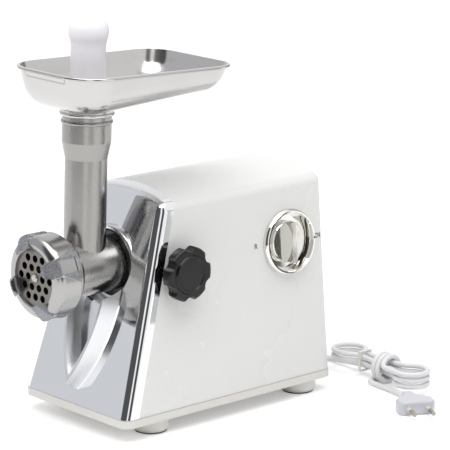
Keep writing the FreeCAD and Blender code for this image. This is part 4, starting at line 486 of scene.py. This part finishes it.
def soledPad(name, colour, sole, height):
    # pale foot on a dark sole of that height
    material, where, feed = finish(name, colour, IOR=plasticIor)
    low = 1 - where.parts()[2].smooth((height - soleSoft) * mm, (height + soleSoft) * mm)
    grain = where.noise(500, 2)
    feed("Base Color", low.mixed(grain.mixed(tint(colour, 0.97), tint(colour, 1.02)), (*sole, 1)))
    feed("Roughness", grain * 0.15 + 0.4)
    feed("Normal", grain.bump(0.08, 0.0004))
    return material


def laminated(name, colour, sheet):
    # stacked sheets, edge on, along Y
    material, where, feed = finish(name, colour, Metallic=1.0)
    stack = (where.parts()[1] * (2 * math.pi / (sheet * mm))).maths("SINE")
    feed("Base Color", stack.smooth(-0.6, 0.9).mixed(tint(colour, 0.6), tint(colour, 1.2)))
    feed("Roughness", where.noise(200, 2) * 0.2 + 0.32)
    feed("Normal", stack.bump(0.3, 0.0002))
    return material


def woundWire(name, colour, turn):
    # turns of wire laid across the coil and along it
    material, where, feed = finish(name, colour, Metallic=1.0)
    x, y, z = where.parts()
    wave = 2 * math.pi / (turn * mm)
    wires = ((x + z) * wave).maths("SINE") * 0.6 + (y * wave).maths("SINE") * 0.4
    feed("Base Color", wires.smooth(-0.8, 0.8).mixed(tint(colour, 0.45), tint(colour, 1.15)))
    feed("Roughness", where.noise(300, 2) * 0.15 + 0.3)
    feed("Normal", wires.bump(0.5, 0.0003))
    return material


paint(mouldedPlastic("whiteShell", (0.80, 0.80, 0.79), 0.27), "main_housing")
paint(seamedBase("whiteBase", (0.76, 0.745, 0.71), (0.12, 0.12, 0.12), 21.7), "base_plate")
paint(grainedBlack("knobBlack", (0.006, 0.006, 0.006), 0.22, 650, 0.22), "lock_knob")
paint(mouldedPlastic("glossBlack", (0.012, 0.012, 0.012), 0.16, 300, 0.01), "head_socket")
paint(mouldedPlastic("pusherPlastic", (0.93, 0.91, 0.95), 0.36), "pusher")
paint(soledPad("footPad", (0.74, 0.72, 0.68), (0.03, 0.03, 0.03), 1.3), "foot_pads")
paint(mouldedPlastic("plugPlastic", (0.60, 0.60, 0.65), 0.32), "plug_body", "strain_relief")
paint(mouldedPlastic("innerPlastic", (0.03, 0.03, 0.03), 0.45), "switch_module", "brush_holders",
      "gear_case_front", "gear_case_rear", "cooling_fan")
paint(mouldedPlastic("gearNylon", (0.72, 0.70, 0.62), 0.40), "idler_gear", "output_gear")
paint(mouldedPlastic("tieStrap", (0.80, 0.78, 0.70), 0.40), "cord_tie")
paint(mouldedPlastic("brushCarbon", (0.02, 0.02, 0.02), 0.6), "carbon_brushes")
paint(chromePanel("panelChrome", (0.83, 0.84, 0.86)), "front_panel")
paint(polishedMetal("bezelChrome", (0.80, 0.79, 0.76), 0.05, 0.02, 0.0), "switch_bezel")
paint(polishedMetal("dialChrome", (0.66, 0.65, 0.62), 0.05, 0.12, 0.0), "switch_dial")
paint(polishedMetal("castAluminium", (0.35, 0.342, 0.33), 0.20, 0.06, 0.12, (1, 1, 0.03)), "head_casting")
paint(castNut("nutCasting", (0.41, 0.405, 0.40), (0.31, 0.32, 0.34)), "ring_nut")
paint(pressedTray("traySheet", (0.56, 0.55, 0.545)), "tray")
paint(turnedPlate("plateSteel", (0.19, 0.18, 0.17), (0, 150)), "cutting_plate")
paint(polishedMetal("toolSteel", (0.48, 0.46, 0.44), 0.3), "cross_knife", "feed_screw")
paint(polishedMetal("turnedSteel", (0.60, 0.60, 0.61), 0.25), "motor_pinion", "idler_shaft", "drive_shaft",
      "motor_shaft", "lock_screw", "motor_bracket", "base_screws", "gear_case_screws", "motor_screws")
paint(polishedMetal("bronze", (0.60, 0.42, 0.22), 0.3), "drive_bushes", "motor_bearings")
paint(woundWire("copperWire", (0.70, 0.34, 0.17), 0.6), "armature_windings", "field_coils")
paint(polishedMetal("commutatorCopper", (0.66, 0.34, 0.19), 0.25), "commutator")
paint(laminated("coreIron", (0.34, 0.34, 0.35), 0.7), "armature_core", "stator_core")
paint(sleevedPins("plugPin", (0.40, 0.37, 0.31), (0.70, 0.66, 0.57)), "plug_pins")
print("finishes set")


# pieces grown from Geometry Nodes: whole numbers in a dictionary become counts, the rest lengths in mm
def newTree(name, sizes):
    tree = bpy.data.node_groups.new(name, "GeometryNodeTree")
    tree.interface.new_socket("Geometry", in_out="OUTPUT", socket_type="NodeSocketGeometry")
    for key, value in sizes.items():
        kind = "NodeSocketInt" if isinstance(value, int) else "NodeSocketFloat"
        tree.interface.new_socket(key, in_out="INPUT", socket_type=kind)
    start = tree.nodes.new("NodeGroupInput")
    return [Socket(tree, start.outputs[key]) for key in sizes]


def grown(name, shape, sizes, material):
    tree = shape.tree
    whole = shape.node("GeometryNodeRealizeInstances", {}, {"Geometry": shape})
    done = shape.node("GeometryNodeSetMaterial", {}, {"Geometry": whole, "Material": material})
    tree.links.new(done.out, tree.nodes.new("NodeGroupOutput").inputs[0])
    seed = bpy.data.objects.new(name + "Seed", bpy.data.meshes.new(name + "Seed"))
    scene.collection.objects.link(seed)
    modifier = seed.modifiers.new("grow", "NODES")
    modifier.node_group = tree
    for item in tree.interface.items_tree:
        if item.in_out == "INPUT":
            value = sizes[item.name]
            modifier[item.identifier] = value if isinstance(value, int) else value * mm
    mesh = bpy.data.meshes.new_from_object(seed.evaluated_get(bpy.context.evaluated_depsgraph_get()))
    bpy.data.objects.remove(seed)
    piece = bpy.data.objects.new(name, mesh)
    scene.collection.objects.link(piece)
    return piece


def spot(socket, x=0.0, y=0.0, z=0.0):
    return socket.node("ShaderNodeCombineXYZ", {}, {"X": x, "Y": y, "Z": z})


def shifted(shape, offset):
    return shape.node("GeometryNodeTransform", {}, {"Geometry": shape, "Translation": offset})


def roundCurve(radius, points):
    return radius.node("GeometryNodeCurvePrimitiveCircle", {}, {"Resolution": points, "Radius": radius})


def rod(radius, depth, sides):
    return radius.node("GeometryNodeMeshCylinder", {}, {"Vertices": sides, "Radius": radius, "Depth": depth})


# ribs round the cord's strain relief, smaller towards its tip
reliefSizes = {"rings": 7, "start": 136.0, "step": 3.0, "radius": 6.2, "thick": 0.75}
reliefPlace = {"x": -42, "z": 44, "narrowing": 0.04, "ringSteps": 40, "ribSteps": 10}


def makeRelief(material):
    rings, start, step, radius, thick = newTree("reliefRibs", reliefSizes)
    at = place(reliefPlace["x"], 0, reliefPlace["z"])
    line = rings.node("GeometryNodeMeshLine", {}, {
        "Count": rings, "Start Location": spot(start, at.x, start + at.y, at.z),
        "Offset": spot(step, 0.0, step, 0.0)})
    path = roundCurve(radius, reliefPlace["ringSteps"])
    section = roundCurve(thick, reliefPlace["ribSteps"])
    ring = path.node("GeometryNodeCurveToMesh", {}, {"Curve": path, "Profile Curve": section})
    smaller = 1 - ring.node("GeometryNodeInputIndex") * reliefPlace["narrowing"]
    ribs = line.node("GeometryNodeInstanceOnPoints", {}, {
        "Points": line, "Instance": ring, "Rotation": (math.pi / 2, 0, 0),
        "Scale": spot(smaller, smaller, smaller, smaller)})
    return grown("reliefRibs", ribs, reliefSizes, material)


# thread on the lock screw between the wall and its knob
threadSizes = {"steps": 40, "radius": 4.85, "length": 7.2, "thick": 0.5}
threadPlace = {"at": (64.6, -59.5, 150), "pitch": 1.5, "ridgeSteps": 6}


def makeThread(material):
    steps, radius, length, thick = newTree("lockThread", threadSizes)
    turns = length / (threadPlace["pitch"] * mm)
    helix = steps.node("GeometryNodeCurveSpiral", {}, {
        "Resolution": steps, "Rotations": turns, "Start Radius": radius, "End Radius": radius, "Height": length})
    section = roundCurve(thick, threadPlace["ridgeSteps"])
    ridge = helix.node("GeometryNodeCurveToMesh", {},
                       {"Curve": helix, "Profile Curve": section, "Fill Caps": True})
    laid = ridge.node("GeometryNodeTransform", {}, {
        "Geometry": ridge, "Rotation": (0, math.pi / 2, 0), "Translation": tuple(place(*threadPlace["at"]))})
    return grown("lockThread", laid, threadSizes, material)


# four cross-recessed screws under the base
screwSizes = {
    "across": 131.0, "along": 156.0, "head": 3.6, "headHigh": 2.4, "shank": 1.9, "shankLong": 14.0, "slot": 4.4,
    "slotWide": 1.0, "slotDeep": 1.5,
}
screwPlace = {"y": 28, "seat": 16.4, "headSides": 36, "shankSides": 24}


def makeScrews(material):
    across, along, head, headHigh, shank, shankLong, slot, slotWide, slotDeep = newTree("baseScrews", screwSizes)
    disc = shifted(rod(head, headHigh, screwPlace["headSides"]), spot(headHigh, 0.0, 0.0, headHigh * -0.5))
    bars = []
    for size in (spot(slot, slot, slotWide, slotDeep * 2), spot(slot, slotWide, slot, slotDeep * 2)):
        bar = slot.node("GeometryNodeMeshCube", {}, {"Size": size})
        bars.append(shifted(bar, spot(headHigh, 0.0, 0.0, headHigh * -1.0)))
    cross = slot.node("GeometryNodeMeshBoolean", {"operation": "UNION"}, {1: bars[0]})
    slot.tree.links.new(bars[1].out, cross.out.node.inputs[1])
    capped = slot.node("GeometryNodeMeshBoolean", {"operation": "DIFFERENCE"}, {0: disc, 1: cross})
    stem = shifted(rod(shank, shankLong, screwPlace["shankSides"]), spot(shankLong, 0.0, 0.0, shankLong * 0.5))
    screw = slot.node("GeometryNodeJoinGeometry", {}, {0: capped})
    slot.tree.links.new(stem.out, screw.out.node.inputs[0])
    grid = across.node("GeometryNodeMeshGrid", {},
                       {"Size X": across, "Size Y": along, "Vertices X": 2, "Vertices Y": 2})
    laid = shifted(grid, tuple(place(0, screwPlace["y"], screwPlace["seat"])))
    set4 = laid.node("GeometryNodeInstanceOnPoints", {}, {"Points": laid, "Instance": screw})
    return grown("baseScrewSet", set4, screwSizes, material)


# words printed on the wall round the switch, and the mark on its rim
printSizes = {
    "dial": (63.158, 81, 154), "slope": 5.126, "tall": 5.0, "thick": 0.12, "bold": 0.012,
    "words": (("ON", 35.4, -2.5, 7.0), ("R", -42.6, -0.6, 3.8)),  # word, along, up, width
    "markWide": 2.2,
    "mark": ((28.7, 6.06), (30.0, 6.06), (31.3, 4.72), (32.05, 3.0),  # along, out
             (31.6, 3.0), (30.9, 4.4), (29.8, 5.7), (28.7, 5.7)),
}


def onWall():
    slope = math.radians(printSizes["slope"])
    along = Vector((0, 1, 0))
    up = Vector((-math.sin(slope), 0, math.cos(slope)))
    out = Vector((math.cos(slope), 0, math.sin(slope)))
    return Matrix.Translation(place(*printSizes["dial"])) @ Matrix((along, up, out)).transposed().to_4x4()


def printed(name, mesh, material):
    mesh.transform(onWall())
    mesh.materials.clear()
    mesh.materials.append(material)
    piece = bpy.data.objects.new(name, mesh)
    scene.collection.objects.link(piece)
    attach(piece, "housing")


def makePrint(material):
    thick = printSizes["thick"] * mm
    for word, y, up, wide in printSizes["words"]:
        data = bpy.data.curves.new("word" + word, "FONT")
        data.body = word
        data.extrude = 0.5
        data.offset = printSizes["bold"]
        holder = bpy.data.objects.new("word" + word, data)
        scene.collection.objects.link(holder)
        mesh = bpy.data.meshes.new_from_object(holder.evaluated_get(bpy.context.evaluated_depsgraph_get()))
        bpy.data.objects.remove(holder)
        low, high = (Vector([pick(v.co[i] for v in mesh.vertices) for i in range(2)]) for pick in (min, max))
        size = Matrix.Diagonal((wide * mm / (high.x - low.x), printSizes["tall"] * mm / (high.y - low.y), thick, 1))
        mesh.transform(Matrix.Translation((y * mm, up * mm, 0)) @ size @ Matrix.Translation((-low.x, -low.y, 0)))
        printed("word" + word, mesh, material)
    half = printSizes["markWide"] / 2 * mm
    points = [(y * mm, up, out * mm) for up in (-half, half) for y, out in printSizes["mark"]]
    count = len(printSizes["mark"])
    faces = [tuple(range(count)), tuple(reversed(range(count, 2 * count)))]
    faces += [(i, i + count, (i + 1) % count + count, (i + 1) % count) for i in range(count)]
    mesh = bpy.data.meshes.new("onMark")
    mesh.from_pydata(points, [], faces)
    shape = bmesh.new()
    shape.from_mesh(mesh)
    bmesh.ops.recalc_face_normals(shape, faces=shape.faces)
    shape.to_mesh(mesh)
    shape.free()
    printed("onMark", mesh, material)


makePrint(mouldedPlastic("printInk", (0.02, 0.02, 0.02), 0.5, 1500, 0.05))
relief = makeRelief(mouldedPlastic("reliefPlastic", (0.70, 0.70, 0.72), 0.36))
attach(relief, "housing")
thread = makeThread(polishedMetal("threadSteel", (0.56, 0.56, 0.57), 0.25))
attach(thread, "lock_screw")
screws = makeScrews(polishedMetal("zincPlate", (0.62, 0.63, 0.62), 0.25))
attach(screws, "housing")
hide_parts("base_screws")
print("details made")


# white floor and surround, two soft lamps, and grey flags that only reflections see; lengths in m
stageSizes = {
    "floor": 12, "floorColour": (0.92, 0.92, 0.92, 1), "floorRough": 0.7, "floorGlow": (0.26, 0.55),
    "glowReach": (1.0, 2.6), "ambient": 0.54, "aim": (0, 0, 0.2), "flagStep": 4,
}
lamps = (  # name, place, size, power in watts
    ("keyLamp", (0.55, -0.4, 3.0), 3.2, 80),
    ("fillLamp", (-1.8, -1.8, 1.6), 2.0, 12),
)
flags = (  # from, to (degrees round from +X), bottom, top, reach, colour
    (-118, -52, 0.0, 2.4, 1.9, (0.09, 0.09, 0.093)),
    (-32, -8, 0.0, 2.4, 1.9, (0.08, 0.08, 0.08)),
    (-180, -118, 0.0, 2.4, 1.9, (0.69, 0.70, 0.73)),
    (24, 35, 0.0, 0.32, 0.75, (0.60, 0.60, 0.60)),
    (37, 45, 0.0, 0.30, 0.75, (0.10, 0.095, 0.085)),
    (84, 112, 0.0, 2.4, 1.9, (0.20, 0.20, 0.20)),
)


def glowing(name, colour):
    material = bpy.data.materials.new(name)
    material.use_nodes = True
    tree = material.node_tree
    tree.nodes.remove(tree.nodes["Principled BSDF"])
    glow = tree.nodes.new("ShaderNodeEmission")
    glow.inputs["Color"].default_value = (*colour, 1)
    tree.links.new(glow.outputs[0], tree.nodes["Material Output"].inputs["Surface"])
    return material


def makeFlag(name, start, end, low, high, reach, colour):
    steps = max(2, round((end - start) / stageSizes["flagStep"]))
    points, faces = [], []
    for i in range(steps + 1):
        turn = math.radians(start + (end - start) * i / steps)
        points += [(reach * math.cos(turn), reach * math.sin(turn), z) for z in (low, high)]
        if i:
            faces.append((2 * i - 2, 2 * i, 2 * i + 1, 2 * i - 1))
    mesh = bpy.data.meshes.new(name)
    mesh.from_pydata(points, [], faces)
    mesh.materials.append(glowing(name, colour))
    flag = bpy.data.objects.new(name, mesh)
    flag.visible_camera = flag.visible_diffuse = flag.visible_shadow = flag.visible_transmission = False
    scene.collection.objects.link(flag)


def seenDirectly(tree):
    # 1 for what the camera sees, straight, mirrored or through glass
    path = tree.nodes.new("ShaderNodeLightPath").outputs
    kinds = ("Is Camera Ray", "Is Glossy Ray", "Is Transmission Ray")
    camera, glossy, through = (Socket(tree, path[kind]) for kind in kinds)
    return (camera + glossy + through).maths("MINIMUM", 1.0)


def makeFloor():
    half = stageSizes["floor"] / 2
    mesh = bpy.data.meshes.new("floor")
    corners = [(-half, -half, 0), (half, -half, 0), (half, half, 0), (-half, half, 0)]
    mesh.from_pydata(corners, [], [(0, 1, 2, 3)])
    floor = bpy.data.objects.new("floor", mesh)
    scene.collection.objects.link(floor)
    material = bpy.data.materials.new("paleFloor")
    material.use_nodes = True
    tree = material.node_tree
    shader = tree.nodes["Principled BSDF"]
    shader.inputs["Base Color"].default_value = stageSizes["floorColour"]
    shader.inputs["Roughness"].default_value = stageSizes["floorRough"]
    shader.inputs["Emission Strength"].default_value = 1
    where = Socket(tree, tree.nodes.new("ShaderNodeTexCoord").outputs["Object"])
    away = where.node("ShaderNodeVectorMath", {"operation": "LENGTH"}, {0: where}, "Value")
    near, far = stageSizes["floorGlow"]
    glow = away.smooth(*stageSizes["glowReach"]) * (far - near) + near
    tree.links.new((seenDirectly(tree) * glow).out, shader.inputs["Emission Color"])
    mesh.materials.append(material)


def makeStage():
    world = bpy.data.worlds.new("paleRoom")
    scene.world = world
    world.use_nodes = True
    tree = world.node_tree
    back = tree.nodes["Background"]
    shown = seenDirectly(tree) * (1 - stageSizes["ambient"]) + stageSizes["ambient"]
    tree.links.new(shown.out, back.inputs["Strength"])
    back.inputs["Color"].default_value = (1, 1, 1, 1)
    makeFloor()
    for i, flag in enumerate(flags):
        makeFlag(f"flag{i}", *flag)
    for name, at, size, power in lamps:
        lamp = bpy.data.lights.new(name, "AREA")
        lamp.size = size
        lamp.energy = power
        thing = bpy.data.objects.new(name, lamp)
        facing = (Vector(at) - Vector(stageSizes["aim"])).to_track_quat("Z", "Y").to_matrix().to_4x4()
        thing.matrix_world = Matrix.Translation(at) @ facing
        scene.collection.objects.link(thing)
    scene.view_settings.view_transform = "Standard"


makeStage()
print("stage set")
